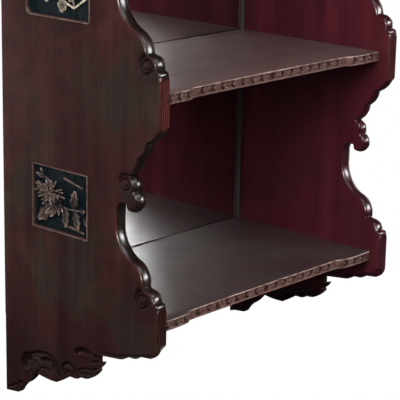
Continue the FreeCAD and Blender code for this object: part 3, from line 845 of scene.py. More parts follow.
@dataclass
class CarvedBoard:
    """A board cut to an outline, with a shaped edge and carving on its face.

    Its own coordinates are two across the face and one down into it. Each outline point has a
    weight for the reeded, the moulded and the rolled edge, and for being cut thin from behind.
    """

    outline: np.ndarray
    reeded: np.ndarray
    moulded: np.ndarray
    rolled: np.ndarray
    thickness: float
    thinned: np.ndarray
    arris: float = 1.2 * MM
    thin_depth: float = 10.0 * MM
    thin_reach: float = 9.0 * MM
    reeds: int = 5
    reed_depth: float = 1.3 * MM
    torus_depth: float = 2.6 * MM
    quirk_depth: float = 0.5 * MM
    roll_across: float = 5.0 * MM
    roll_down: float = 4.6 * MM
    roll_crown: float = 1.6 * MM
    cuts: list = field(default_factory=list)
    zones: list[Zone] = field(default_factory=list)
    rings: Sequence[float] = ()
    creases: Sequence[float] = ()

    # Shares of the half thickness where the edge has its rows of points.
    SPREAD = (0.0, 0.085, 0.175, 0.245, 0.3135, 0.38, 0.45, 0.5423, 0.634, 0.7025, 0.771, 0.84, 0.908, 1.0)
    EASE_POINTS = 1
    EASE_SHARE = 0.24
    QUIRK_AT = 0.1
    QUIRK_HALF = 0.03
    EDGE_REACH = 3.6 * MM
    ARRIS_FADE = 1.1 * MM
    FULL_SINK = 2.6 * MM
    MOST_HOLLOW = 0.92
    CREASE_HALF = 1.1 * MM
    CREASE_DEPTH = 0.5 * MM

    def __post_init__(self) -> None:
        """Work out the arris at each outline point and the outline of the faces."""
        self.inward = self.normals(self.outline)
        ease = self.easing(self.rolled * self.roll_crown + self.moulded * self.torus_depth)
        self.moulded, self.rolled = self.moulded * ease, self.rolled * ease
        self.across = self.arris + self.rolled * (self.roll_across - self.arris)
        self.down = self.arris + self.rolled * (self.roll_down - self.arris)
        drawn_in = self.rolled * self.roll_crown + self.moulded * self.torus_depth
        self.lip = self.outline + self.inward * drawn_in[:, None]
        self.fence = Fence(self.lip)

    @staticmethod
    def normals(outline: np.ndarray) -> np.ndarray:
        """The inward direction at each point of a closed outline.

        Args:
            outline: The outline's points, one row each.

        Returns:
            One direction per point.
        """
        tangent = np.roll(outline, -1, 0) - np.roll(outline, 1, 0)
        tangent /= np.linalg.norm(tangent, axis=1)[:, None]
        after = np.roll(outline, -1, 0)
        area = (outline[:, 0] * after[:, 1] - after[:, 0] * outline[:, 1]).sum()
        return np.stack([-tangent[:, 1], tangent[:, 0]], 1) * (1 if area > 0 else -1)

    def easing(self, wanted: np.ndarray) -> np.ndarray:
        """How much of a wanted drawing in the outline bears, less at tight outward bends.

        Args:
            wanted: How far the faces' outline would be drawn in at each point.

        Returns:
            A share of that at each point.
        """
        ahead = np.roll(self.outline, -1, 0) - self.outline
        behind = np.roll(ahead, 1, 0)
        side = (self.inward * ahead).sum(1) - (self.inward * behind).sum(1)
        length = np.linalg.norm(ahead, axis=1)
        window = range(-self.EASE_POINTS, self.EASE_POINTS + 1)
        bend = sum(np.roll(side / length, shift) for shift in window)
        bend = bend / sum(np.roll(length, shift) for shift in window)
        ease = np.clip(self.EASE_SHARE / np.maximum(bend * wanted, 1e-6), 0, 1)
        ease = np.min([np.roll(ease, shift) for shift in window], axis=0)
        for _ in range(4):
            ease = (np.roll(ease, 1) + ease + np.roll(ease, -1)) / 3
        return ease

    def inset(self, share: np.ndarray, least: np.ndarray) -> np.ndarray:
        """How far the edge's section lies inside the outline.

        Args:
            share: Share of the thickness at each outline point.
            least: That share at the arris.

        Returns:
            The inset at each outline point.
        """
        near = np.minimum(share, 1 - share)
        reed = self.reed_depth * np.abs(2 * ((share * self.reeds) % 1.0) - 1) ** 2.4
        reed = np.where(near > 0.5 / self.reeds, reed, 0.0)
        quirk = self.quirk_depth * np.clip(1 - np.abs(near - self.QUIRK_AT) / self.QUIRK_HALF, 0, 1)
        round_share = ((0.5 - near) / (0.5 - least)) ** 2
        mould = self.torus_depth * round_share + quirk
        return self.reeded * reed + self.moulded * mould + self.rolled * self.roll_crown * round_share

    def face_points(self, carved: bool) -> np.ndarray:
        """The points that a face needs beside its outline.

        Args:
            carved: Whether the face has the carving.

        Returns:
            The points, one row each.
        """
        sets = []
        for share, least in ((0.15, 0.3), (0.3, 0.0), (0.5, 0.3), (0.68, 0.0), (1.06, 0.0)):
            wanted = self.rolled >= least
            offset = (self.across * share)[:, None]
            ring = (self.lip + self.inward * offset)[wanted]
            sets.append(ring[self.fence.nearest(ring)[0] > offset[wanted, 0] * 0.93])
        if carved:
            grids = [zone.points() for zone in self.zones]
            grids += [self.lip + self.inward * ring for ring in self.rings]
            for grid in grids:
                grid = grid[inside_outline(grid, self.lip)]
                gap, near = self.fence.nearest(grid)
                sets.append(grid[gap > self.across[near] * 1.2])
        else:
            for share in (0.33, 0.66, 1.0, 1.3):
                ring = (self.lip + self.inward * self.thin_reach * share)[self.thinned > 0.02]
                sets.append(ring[self.fence.nearest(ring)[0] > self.thin_reach * share * 0.93])
        return np.concatenate(sets)

    def face(self, carved: bool) -> tuple[np.ndarray, list[list[int]]]:
        """Triangles of one face, with its rounded arris and its carving.

        Args:
            carved: Whether the face has the carving.

        Returns:
            Points as (across, up, depth) rows, and the triangles.
        """
        count = len(self.lip)
        spots = np.concatenate([self.lip, self.face_points(carved)])
        ring = [(i, (i + 1) % count) for i in range(count)]
        made, _, faces, *_ = delaunay_2d_cdt([Vector(p) for p in spots], ring, [], 1, 1e-7)
        flat = np.array([tuple(v) for v in made])
        gap, near = self.fence.nearest(flat)
        turned = np.clip(1 - gap / self.across[near], 0, 1)
        depth = self.down[near] * (1 - np.sqrt(1 - turned ** 2))
        if carved and self.cuts:
            carving = sum(cut.sink(flat) for cut in self.cuts)
            depth = depth + carving * np.clip(gap / (2 * MM), 0, 1) ** 2
        if not carved:
            depth = depth + self.thinned[near] * self.thin_depth * np.clip(1 - gap / self.thin_reach, 0, 1)
        return np.column_stack([flat, depth]), [list(f) for f in faces]

    def rim(self) -> tuple[np.ndarray, list[list[int]]]:
        """The edge between the two faces.

        Returns:
            Points as (across, up, depth) rows, and the quads.
        """
        least = self.down / (self.thickness - self.thinned * self.thin_depth)
        halves = [least + (0.5 - least) * spread for spread in self.SPREAD]
        shares = halves + [1 - share for share in reversed(halves[:-1])]
        crease = np.zeros(len(self.outline))
        for height in self.creases:
            gap = np.abs(self.outline[:, 1] - height)
            crease = np.maximum(crease, np.clip(1 - gap / self.CREASE_HALF, 0, 1) * self.CREASE_DEPTH)
        rows = []
        for number, share in enumerate(shares):
            inset = self.inset(share, least)
            if 0 < number < len(shares) - 1:
                inset = inset + crease * self.reeded
            spots = self.outline + self.inward * inset[:, None]
            rows.append(np.column_stack([spots, share * (self.thickness - self.thinned * self.thin_depth)]))
        rows[0][:, :2] = rows[-1][:, :2] = self.lip
        return np.concatenate(rows), ring_faces(len(rows), len(self.outline))

    def solid(self) -> tuple[np.ndarray, list[list[int]]]:
        """The closed board.

        Returns:
            Points as (across, up, depth) rows, and the faces.
        """
        front, front_faces = self.face(True)
        back, back_faces = self.face(False)
        back[:, 2] = self.thickness - back[:, 2]
        rim, rim_faces = self.rim()
        verts, faces = [front], list(front_faces)
        for more, more_faces in ((back, back_faces), (rim, rim_faces)):
            offset = sum(len(v) for v in verts)
            verts.append(more)
            faces += [[i + offset for i in f] for f in more_faces]
        return np.concatenate(verts), faces

    def dress(self, piece: bpy.types.Object, flat: np.ndarray, depth: np.ndarray) -> None:
        """Give a finished board its wear with painted highlights on the carving's ridges, its painted shade
        in the carving, the reed valleys and the quirks, and its three materials.

        Slot 0 is the carved face, slot 1 the other face and slot 2 the shaped edge.

        Args:
            piece: The board's mesh object.
            flat: Each point's place across the face.
            depth: Each point's depth below the carved face.
        """
        gap, near = self.fence.nearest(flat)
        shaped = (self.reeded + self.moulded + self.rolled)[near]
        on_edge = gap < self.EDGE_REACH
        reed, mould = self.reeded[near] * on_edge, self.moulded[near] * on_edge
        share = depth / self.thickness
        middle = np.minimum(share, 1 - share)
        crest = 1 - np.abs(2 * ((share * self.reeds) % 1.0) - 1) ** 1.5
        outside = depth < 6 * MM
        sinks = [cut.sink(flat) * outside for cut in self.cuts]
        hollows = sum(np.clip(sink, 0, None) for sink in sinks) if sinks else np.zeros(len(flat))
        ridges = sum(np.clip(-sink, 0, None) for sink in sinks) if sinks else np.zeros(len(flat))
        arris = np.exp(-(gap / self.ARRIS_FADE) ** 2) * outside * (depth < 2 * self.ARRIS_FADE)
        arris = arris * (1 - self.rolled[near] * 0.8)
        # Wear on the reeds' crests and the arrises, and a painted highlight on the carving's ridges.
        wear = reed * (0.25 + 0.75 * crest) + 0.75 * arris * (1 - reed) + ridges / self.FULL_SINK
        set_attribute(piece, "wear", np.clip(wear, 0, 1))
        # Painted shade in the carved grooves, the reed valleys and the quirks beside the moulding.
        valley = (1 - crest) ** 2 * reed * (middle > 0.12)
        flank = mould * np.exp(-((middle - self.QUIRK_AT) / 0.045) ** 2)
        hollow = hollows / self.FULL_SINK + 0.6 * (flank + valley)
        set_attribute(piece, "hollow", np.clip(hollow, 0, self.MOST_HOLLOW))
        least = self.down[near]
        between = (depth > least * 0.9) & (depth < self.thickness - least * 0.9) & (gap < 4.2 * MM)
        edge = ((gap < self.across[near] * 1.03) | between) & (shaped > 0.3)
        mesh = piece.data
        corners = np.empty(len(mesh.loops), np.int32)
        mesh.loops.foreach_get("vertex_index", corners)
        starts = np.empty(len(mesh.polygons), np.int32)
        mesh.polygons.foreach_get("loop_start", starts)
        all_edge = np.minimum.reduceat(edge[corners].astype(np.int8), starts) > 0
        deep = np.maximum.reduceat(depth[corners], starts) > self.thickness * 0.5
        slots = np.where(all_edge, 2, np.where(deep, 1, 0)).astype(np.int32)
        mesh.polygons.foreach_set("material_index", slots)


# Shares of the side boards' outline, which follow the frame's boards within a few millimetres. A
# row is an end point, or the middle and end points of an arc.
SCROLL_SHARES = (
    ((0.013, 0.0180), (0.058, 0.0280)),
    ((0.084, 0.0310),),
    ((0.118, 0.0750), (0.225, 0.0985)),
    ((0.335, 0.1060),),
    ((0.424, 0.1905), (0.654, 0.241)),
    ((0.902, 0.308), (1.0, 0.429)),
    ((1.0, 0.500),),
    ((0.965, 0.536), (0.900, 0.547)),
    ((0.815, 0.547),),
    ((0.795, 0.518), (0.730, 0.508)),
    ((0.488, 0.562), (0.561, 0.626)),
    ((0.600, 0.632),),
    ((0.590, 0.678), (0.723, 0.714)),
    ((0.575, 0.758), (0.514, 0.817)),
    ((0.365, 0.857), (0.297, 0.916)),
    ((0.105, 0.951), (0.0, 1.0)),
)
FOOT_SHARES = (
    ((0.006, 0.200), (0.040, 0.256)),
    ((0.105, 0.269),),
    ((0.122, 0.293), (0.150, 0.304)),
    ((0.180, 0.307),),
    ((0.200, 0.332), (0.235, 0.352)),
    ((0.368, 0.381),),
    ((0.368, 0.449),),
    ((0.338, 0.432),),
    ((0.348, 0.466), (0.374, 0.504)),
    ((0.366, 0.525),),
    ((0.388, 0.567), (0.418, 0.607)),
    ((0.445, 0.627), (0.481, 0.629)),
    ((0.504, 0.655), (0.538, 0.660)),
    ((0.562, 0.664),),
    ((0.596, 0.705), (0.645, 0.757)),
    ((0.707, 0.758), (0.781, 0.742)),
    ((0.815, 0.818), (0.858, 0.874)),
    ((0.882, 0.917), (0.896, 0.953)),
    ((0.910, 0.978), (0.921, 0.984)),
    ((1.0, 1.0),),
)
SIDE_TOP_SHARES = (
    ((0.190, 0.350), (0.330, 0.310)),
    ((0.640, 0.390), (0.820, 0.730)),
    ((0.870, 0.930), (0.940, 1.0)),
    ((1.0, 1.0),),
)
CREST_SHARES = (
    ((0.900, 0.600), (0.800, 0.510)),
    ((0.690, 0.420), (0.560, 0.460)),
    ((0.550, 0.540),),
    ((0.450, 0.660), (0.300, 0.690)),
    ((0.290, 0.760),),
    ((0.159, 0.937), (0.0, 1.0)),
)

# Carving on the foot, in millimetres behind the front plane and above the lowest shelf's top:
# points, half width and depth, where a negative depth is a ridge.
FOOT_CUTS_MM = (
    (((188, -114), (190, -104), (194, -95), (202, -90), (216, -89), (230, -91), (242, -96), (253, -99),
      (262, -104), (266, -113), (264, -124)), 1.7, 2.4),
    (((199, -107), (198, -99), (205, -96.5), (216, -97.5), (223, -100)), 2.0, 2.6),
    (((222, -97), (231, -94.5), (240, -98)), 1.8, -1.0),
    (((222, -106), (231, -101), (239, -103), (243, -110)), 1.9, -1.2),
    (((246, -104), (257, -105.5), (259, -116)), 3.4, 2.6),
    (((246, -118), (252, -124), (262, -124)), 1.8, -0.8),
    (((231, -119), (238, -127), (243, -138)), 2.2, 1.6),
    (((205, -112), (216, -111), (226, -114)), 1.4, 1.0),
    (((157, -102), (159, -94), (166, -90.5), (174, -92), (180, -97), (181, -104), (177, -109)), 1.7, 2.1),
    (((164, -99), (168, -95.5), (176, -99)), 1.6, -0.9),
    (((166, -103), (171, -105), (175, -103)), 1.2, 1.4),
    (((129, -65), (140, -64), (149, -66), (154, -71)), 2.5, 3.0),
    (((132, -71), (142, -70.5), (149, -73)), 1.6, -0.9),
    (((106, -67), (114, -66.5), (121, -66)), 1.6, 2.2),
    (((107, -70), (113, -74), (122, -77)), 1.4, 1.6),
    (((113, -84), (121, -89), (136, -90), (150, -97)), 1.3, 1.3),
    (((123, -95), (134, -97), (146, -99)), 1.2, 0.9),
    (((262, -148), (267, -146), (272, -148), (273, -153), (268, -156)), 1.5, 1.8),
    (((277, -152), (288, -158), (296, -161)), 1.3, 1.2),
    (((10, -39), (28, -43), (48, -48), (70, -55), (98, -58)), 1.3, 1.1),
)


@dataclass
class SideBoard:
    """A carved side board: scrolled front, reeded blocks, volutes and a carved foot."""

    side: Side
    tops: list[float]
    finishes: Finishes
    block_rise: float = 28 * MM
    block_fall: float = 42 * MM
    foot_block: float = 0.64
    scroll_depth: float = 74 * MM
    foot_drop: float = 167 * MM
    top_rise: float = 90 * MM
    crease_drop: float = 7 * MM
    cap: float = 3.2 * MM
    cap_roll: float = 0.45
    rebate_width: float = 6 * MM
    curve_step: float = 1.5 * MM
    lip_rows: int = 4
    roll_rows: tuple[int, int] = (9, 13)
    lifts: tuple = (-2.0 * MM, 2.2 * MM, 0.0, 0.0)
    volute_place: Spot = (26 * MM, 37 * MM)
    volute_radius: float = 13.0 * MM
    hook_place: Spot = (61 * MM, 187 * MM)
    hook_radius: float = 12.2 * MM
    foot_width: float = 1.2
    foot_depth: float = 1.5
    front_shade: float = 0.3
    foot_shade: float = 0.35
    inner_shade: float = 0.88

    def __post_init__(self) -> None:
        """Read the board's place from the frame."""
        self.low, self.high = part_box(f"{self.side.word}_side_panel")
        self.outer = self.high.x if self.side is Side.RIGHT else self.low.x
        self.thickness = self.high.x - self.low.x
        self.depth = self.high.y - self.low.y

    def at(self, back: float, up: float) -> Spot:
        """A point on the face, from its distance behind the front plane."""
        return (self.low.y + back, up)

    def outline(self) -> tuple[np.ndarray, list[np.ndarray]]:
        """The board's outline with how its edge is shaped at each point.

        Returns:
            The points, and for each the weights of the reeded, moulded, rolled and thinned edge.
        """
        low, high = self.tops[0], self.tops[-1]
        free = self.tops[1] - self.tops[0] - self.block_rise - self.block_fall
        start = self.at(0, low - self.block_fall * self.foot_block)
        points: list[Spot] = [start]
        kinds: list[int] = [1]

        def extend(more: list[Spot], kind: int) -> None:
            """Add a stretch: 0 plain, 1 reeded, 2 moulded, 3 rolled, 4 a block's cap, 5 the foot."""
            points.extend(more)
            kinds.extend([kind] * len(more))

        for level, top in enumerate(self.tops):
            base = top + self.block_rise

            def spot(y: float, z: float, base: float = base, lift: float = self.lifts[level]) -> Spot:
                """A point of this bay's scroll, whose cushion differs a little from bay to bay."""
                lift *= math.exp(-((z - 0.100) / 0.045) ** 2)
                return self.at(y * self.scroll_depth - 0.65 * lift, base + z * free + lift)

            extend(line_points(points[-1], self.at(0, base - self.cap), self.curve_step * 0.75), 1)
            extend(line_points(points[-1], self.at(0, base), self.curve_step * 0.75), 4)
            whole = level < len(self.tops) - 1
            for number, row in enumerate(SCROLL_SHARES if whole else SCROLL_SHARES[:self.lip_rows]):
                kind = 3 if self.roll_rows[0] <= number < self.roll_rows[1] else 2 if number > 1 else 4
                extend(run_points(points[-1], [row], spot, self.curve_step), kind)
        extend(run_points(points[-1], SIDE_TOP_SHARES,
                          lambda y, z: self.at(y * self.depth, high + z * self.top_rise),
                          self.curve_step * 1.5), 2)
        foot = [start] + run_points(start, FOOT_SHARES,
                                    lambda y, z: self.at(y * self.depth, low - z * self.foot_drop),
                                    self.curve_step)
        extend(line_points(points[-1], foot[-1], 60 * MM), 0)
        extend(foot[-2:0:-1], 5)
        spots = np.array(points)
        kind = np.array(kinds)
        step = np.linalg.norm(np.roll(spots, -1, 0) - spots, axis=1)
        weights = []
        for wanted in (1, 2, 3, 5):
            weight = (kind == wanted) + self.cap_roll * (kind == 4) * (wanted == 3)
            for _ in range(3):
                weight = sum(np.roll(weight, shift) for shift in (-1, 0, 1)) / 3
            weights.append(np.where(step > 10 * MM, 0.0, weight))
        return spots, weights

    def carving(self) -> tuple[list, list[Zone]]:
        """The carving on the outer face.

        Returns:
            Its cuts, and the zones where it needs fine points.
        """
        cuts, zones = [], []
        for top, lift in zip(self.tops[:-1], self.lifts):
            back, up = self.volute_place
            centre = self.at(back - 1.1 * lift, top + up + 1.3 * lift)
            hook = self.at(self.hook_place[0], top + self.hook_place[1])
            scrolls = (Volute(centre, self.volute_radius, 96, depth=3.0 * MM),
                       Volute(hook, self.hook_radius, 128, depth=2.8 * MM, wide=3.4 * MM))
            for scroll in scrolls:
                cuts.append(scroll)
                reach = scroll.radius + 8 * MM
                zones.append(Zone((scroll.centre[0] - reach, scroll.centre[1] - reach),
                                  (scroll.centre[0] + reach, scroll.centre[1] + reach), 0.85 * MM))
        low = self.tops[0]
        for points, half, depth in FOOT_CUTS_MM:
            line = [self.at(y * MM, low + z * MM) for y, z in points]
            cuts.append(Cut(line, half * self.foot_width * MM, depth * self.foot_depth * MM))
        zones.append(Zone(self.at(6 * MM, low - 62 * MM), self.at(100 * MM, low - 34 * MM), 1.3 * MM))
        zones.append(Zone(self.at(96 * MM, low - 166 * MM), self.at(298 * MM, low - 58 * MM), 1.1 * MM))
        return cuts, zones

    def housings(self) -> list[bpy.types.Object]:
        """Let the boards and the backing into the inner face.

        Returns:
            The cutting tools.
        """
        inner = self.outer - self.side.value * self.thickness
        spans = []
        for node in ("shelf_1", "shelf_2", "shelf_3", "top_board"):
            low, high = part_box(node)
            deep = low.x if self.side is Side.LEFT else high.x
            spans.append((deep, low.y, low.z, high.z))
        low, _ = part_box("backing_board_1")
        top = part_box("hanging_rail")[1].z
        spans.append((inner + self.side.value * self.rebate_width, low.y, low.z, top))
        past = 4 * MM
        open_end = inner - self.side.value * past
        return [prism_piece("housing_tool", np.array([(front, floor), (past, floor), (past, ceiling),
                                                      (front, ceiling)]), deep, open_end)
                for deep, front, floor, ceiling in spans]

    def recesses(self) -> list[bpy.types.Object]:
        """Let the tablets into the outer face.

        Returns:
            The cutting tools.
        """
        sign = self.side.value
        tools = []
        for level in range(len(self.tops) - 1):
            low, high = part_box(f"{self.side.word}_tablet_{level + 1}")
            bed = low.x if sign > 0 else high.x
            around = TabletShape(self.side, level).outline(TabletShape.LIP)
            tools.append(prism_piece("recess_tool", around, bed, self.outer + sign * 4 * MM))
        return tools

    def shade(self, piece: bpy.types.Object, points: np.ndarray) -> None:
        """Paint shade onto the inner face below the lowest shelf towards the rear, darken the outer face
        towards the front and on the foot, and lessen the wear on the lowest block.

        Args:
            piece: The side board.
            points: Its points.
        """
        depth = np.abs(points[:, 0] - self.outer)
        back, drop = points[:, 1] - self.low.y, self.tops[0] - points[:, 2]
        # Darker on the foot's outer face and towards the front of the outer face.
        foot = self.foot_shade * np.clip(drop / (60 * MM) - 0.6, 0, 1) * (depth < 4 * MM)
        front = self.front_shade * np.clip(1 - back / (80 * MM), 0, 1) * (depth < 2 * MM) * (back > 3 * MM)
        # Painted shadow on the inner face below the lowest shelf, deeper towards the rear.
        inner = np.clip(drop / (25 * MM) - 0.6, 0, 1) * np.clip(back / (90 * MM) - 0.5, 0, 1)
        inner *= self.inner_shade * (depth > self.thickness * 0.35)
        low = np.clip((drop + self.block_rise + 12 * MM) / (8 * MM), 0, 1)
        hollow, wear = (read_attribute(piece, name) for name in ("hollow", "wear"))
        hollow = np.clip(hollow + np.maximum(front, foot) + inner, 0, CarvedBoard.MOST_HOLLOW)
        set_attribute(piece, "hollow", hollow)
        set_attribute(piece, "wear", wear * (1 - 0.6 * low))

    def build(self) -> bpy.types.Object:
        """Make the finished side board.

        Returns:
            The piece, which stands for the frame's own side board.
        """
        spots, weights = self.outline()
        cuts, zones = self.carving()
        board = CarvedBoard(spots, *weights[:3], self.thickness, weights[3], cuts=cuts, zones=zones,
                            creases=[top - self.crease_drop for top in self.tops])
        flat, faces = board.solid()
        sign = self.side.value
        back = np.maximum(flat[:, 0], self.low.y)
        verts = np.column_stack([self.outer - sign * flat[:, 2], back, flat[:, 1]])
        finish = self.finishes
        left = self.side is Side.LEFT
        looks = [finish.outer, finish.inner, finish.edge if left else finish.red_edge]
        piece = new_piece(f"{self.side.word}_side_carved", verts, faces, looks)
        tidy_mesh(piece)
        cut_away(piece, self.housings() + self.recesses())
        tidy_mesh(piece)
        points = points_of(piece)
        board.dress(piece, points[:, 1:], np.abs(points[:, 0] - self.outer))
        self.shade(piece, points)
        keep_slot(piece, f"{self.side.word}_side_panel")
        return piece


@dataclass
class TabletShape:
    """The rounded rectangle of a tablet, read from the frame's own tablet frame."""

    side: Side
    level: int

    LIP = 0.8 * MM
    CORNER_STEPS = 6

    def named(self, kind: str) -> str:
        """The name of a piece of this tablet."""
        return f"{self.side.word}_{kind}_{self.level + 1}"

    def __post_init__(self) -> None:
        """Read the place and choose the corners."""
        self.low, self.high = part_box(self.named("tablet_frame"))
        panel_low, panel_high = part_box(f"{self.side.word}_side_panel")
        self.outer = panel_high.x if self.side is Side.RIGHT else panel_low.x
        self.board_front = panel_low.y
        front, rear = (2.0 * MM, 1.6 * MM) if self.level == 0 else (3.5 * MM, 11.0 * MM)
        self.radii = (front, rear, rear, front)

    def outline(self, margin: float = 0.0) -> np.ndarray:
        """The outline in Y and Z, set in by a margin.

        Args:
            margin: How far inside the frame's outer edge the outline runs.

        Returns:
            The points, anticlockwise from the lower front corner.
        """
        y0, y1 = self.low.y + margin, self.high.y - margin
        z0, z1 = self.low.z + margin, self.high.z - margin
        points = []
        corners = ((y0, z0, 1, 1, 180), (y1, z0, -1, 1, 270), (y1, z1, -1, -1, 0), (y0, z1, 1, -1, 90))
        for (y, z, right, up, first), radius in zip(corners, self.radii):
            left = max(radius - margin, 0.3 * MM)
            for step in range(self.CORNER_STEPS + 1):
                angle = math.radians(first + 90 * step / self.CORNER_STEPS)
                points.append((y + left * (right + math.cos(angle)), z + left * (up + math.sin(angle))))
        return np.array(points)

    def world(self, flat: np.ndarray) -> np.ndarray:
        """Points of the room from (Y, Z, height above the side board's face) rows."""
        return np.column_stack([self.outer + self.side.value * flat[:, 2], flat[:, 0], flat[:, 1]])


@dataclass
class TabletFrame:
    """The rounded bead round a tablet, lapping over the edge of its recess."""

    shape: TabletShape
    finishes: Finishes

    # Distance in from the frame's outer edge and height above the board's face, in millimetres.
    SECTION_MM = ((0.0, 0.0), (0.05, 0.7), (0.3, 1.25), (0.75, 1.65), (1.3, 1.8), (1.9, 1.6), (2.4, 1.1),
                  (2.8, 0.4), (3.25, -0.8), (3.35, -5.0), (0.8, -5.0), (0.8, 0.0))

    def build(self) -> bpy.types.Object:
        """Make the frame.

        Returns:
            The piece, which stands for the frame's own tablet frame.
        """
        loops = [np.column_stack([self.shape.outline(inset * MM),
                                  np.full(4 * (TabletShape.CORNER_STEPS + 1), height * MM)])
                 for inset, height in self.SECTION_MM]
        faces = ring_faces(len(loops), len(loops[0]), closed=True)
        piece = new_piece(self.shape.named("tablet_bead"), self.shape.world(np.concatenate(loops)), faces,
                          [self.finishes.frame])
        tidy_mesh(piece, 50.0)
        points = points_of(piece)
        height = (points[:, 0] - self.shape.outer) * self.shape.side.value
        # Painted highlight and wear on the bead's crown, less on the rear side; painted shade down the
        # recess wall and along the rear side.
        rear = np.clip(1 - (self.shape.outline().max(0)[0] - points[:, 1]) / (5 * MM), 0, 1)
        set_attribute(piece, "wear", np.clip((height - 0.9 * MM) / (0.8 * MM), 0, 1) * (1 - 0.8 * rear))
        set_attribute(piece, "hollow", np.clip(-height / (3 * MM) + 0.75 * rear, 0, 0.9))
        keep_slot(piece, self.shape.named("tablet_frame"))
        return piece


class UnitRepeater:
    """Geometry Nodes that stand a unit on marked points and give the copies one finish."""

    INPUTS = (("Unit", "NodeSocketObject"), ("Finish", "NodeSocketMaterial"), ("Seed", "NodeSocketInt"),
              ("Least Size", "NodeSocketFloat"), ("Most Size", "NodeSocketFloat"))

    def __init__(self) -> None:
        """Build the node group once."""
        group = bpy.data.node_groups.new("repeat_units", "GeometryNodeTree")
        group.interface.new_socket("Points", in_out="INPUT", socket_type="NodeSocketGeometry")
        self.sockets = {}
        for title, kind in self.INPUTS:
            socket = group.interface.new_socket(title, in_out="INPUT", socket_type=kind)
            self.sockets[title] = socket.identifier
        group.interface.new_socket("Copies", in_out="OUTPUT", socket_type="NodeSocketGeometry")
        tree = Tree(group)
        start, end = tree.add("NodeGroupInput"), tree.add("NodeGroupOutput")
        unit = tree.add("GeometryNodeObjectInfo", {"Object": start.outputs["Unit"]})
        turn = tree.add("GeometryNodeInputNamedAttribute", {"Name": "turn"}, data_type="FLOAT_VECTOR")
        size = tree.add("GeometryNodeInputNamedAttribute", {"Name": "size"}, data_type="FLOAT_VECTOR")
        number = tree.add("GeometryNodeInputIndex")
        factor = tree.add("FunctionNodeRandomValue", {2: start.outputs["Least Size"],
                                                      3: start.outputs["Most Size"],
                                                      "ID": number.outputs[0],
                                                      "Seed": start.outputs["Seed"]}, data_type="FLOAT")
        scaled = tree.add("ShaderNodeVectorMath", {0: size.outputs[0], "Scale": factor.outputs[1]},
                          operation="SCALE")
        copies = tree.add("GeometryNodeInstanceOnPoints", {
            "Points": start.outputs["Points"], "Instance": unit.outputs["Geometry"],
            "Rotation": turn.outputs[0], "Scale": scaled.outputs[0]})
        real = tree.add("GeometryNodeRealizeInstances", {"Geometry": copies.outputs[0]})
        dressed = tree.add("GeometryNodeSetMaterial", {"Geometry": real.outputs[0],
                                                       "Material": start.outputs["Finish"]})
        group.links.new(dressed.outputs[0], end.inputs[0])
        self.group = group

    def grow(self, name: str, points: np.ndarray, turns: np.ndarray, sizes: np.ndarray,
             unit: bpy.types.Object, finish: bpy.types.Material, seed: int = 1,
             spread: float = 0.1) -> bpy.types.Object:
        """Copy a unit onto points.

        Args:
            name: The new object's name.
            points: Where the copies stand, one row each.
            turns: Their Euler angles.
            sizes: Their size along each of the unit's axes.
            unit: What is copied.
            finish: The copies' material.
            seed: Fixes the chance in their sizes.
            spread: How far the sizes may stray.

        Returns:
            The copies as one plain mesh object.
        """
        piece = new_piece(name, points, [], [])
        for title, rows in (("turn", turns), ("size", sizes)):
            marks = piece.data.attributes.new(title, "FLOAT_VECTOR", "POINT")
            marks.data.foreach_set("vector", np.asarray(rows, np.float32).ravel())
        modifier = piece.modifiers.new("repeat", "NODES")
        modifier.node_group = self.group
        feeds = {"Unit": unit, "Finish": finish, "Seed": seed, "Least Size": 1.0 - spread,
                 "Most Size": 1.0 + spread}
        for title, feed in feeds.items():
            modifier[self.sockets[title]] = feed
        finished_mesh(piece)
        for title in ("turn", "size"):
            marks = piece.data.attributes.get(title)
            if marks:
                piece.data.attributes.remove(marks)
        return piece


def blade_unit(name: str, bulge: float, groove: float, lobes: int = 0, rows: int = 7,
               power: float = 0.7) -> bpy.types.Object:
    """A petal or leaf of length 1 and width 1 that lies along X, with a groove down its middle.

    Args:
        name: The unit's name.
        bulge: Height of its two crests.
        groove: Height of its middle line, lower than the crests.
        lobes: How many lobes its rim has on each side.
        rows: Sections along its length.
        power: Shape of its rim: lower is blunter.

    Returns:
        The closed unit, hidden from the render.
    """
    verts, wear, hollow = [], [], []
    for row in range(rows):
        along = (row + 0.5) / rows
        width = 0.5 * math.sin(math.pi * along ** 0.85) ** power
        if lobes:
            width *= 1 + 0.24 * math.cos(2 * math.pi * lobes * along)
        high = math.sin(math.pi * along) ** 0.5
        section = ((-1.0, 0.0), (-0.55, bulge * high), (0.0, groove * high), (0.55, bulge * high),
                   (1.0, 0.0), (0.0, -0.6 * bulge))
        for across, up in section:
            verts.append((along, across * width, up))
        # Painted highlight towards the tip along the crests; painted shade at the root, along the rim, in
        # the middle groove and underneath.
        tip = along ** 2.6
        root = 0.9 * (1 - along) ** 0.9
        wear += [0.1 * tip, tip, 0.1 * tip, 0.7 * tip, 0.1 * tip, 0.0]
        hollow += [min(0.9, 0.6 + root), root * 0.8, min(0.9, 0.4 + root), root, min(0.9, 0.6 + root), 0.9]
    size = 6
    faces = ring_faces(rows, size)
    verts += [(0.0, 0.0, 0.0), (1.0, 0.0, bulge * 0.25)]
    wear += [0.0, 0.9]
    hollow += [0.8, 0.0]
    stem_index, tip_index = rows * size, rows * size + 1
    faces += [[stem_index, (i + 1) % size, i] for i in range(size)]
    last = (rows - 1) * size
    faces += [[tip_index, last + i, last + (i + 1) % size] for i in range(size)]
    unit = new_piece(name, np.array(verts), faces, [])
    set_attribute(unit, "wear", np.array(wear))
    set_attribute(unit, "hollow", np.array(hollow))
    work = bmesh.new()
    work.from_mesh(unit.data)
    bmesh.ops.recalc_face_normals(work, faces=work.faces)
    work.to_mesh(unit.data)
    work.free()
    unit.hide_render = True
    return unit


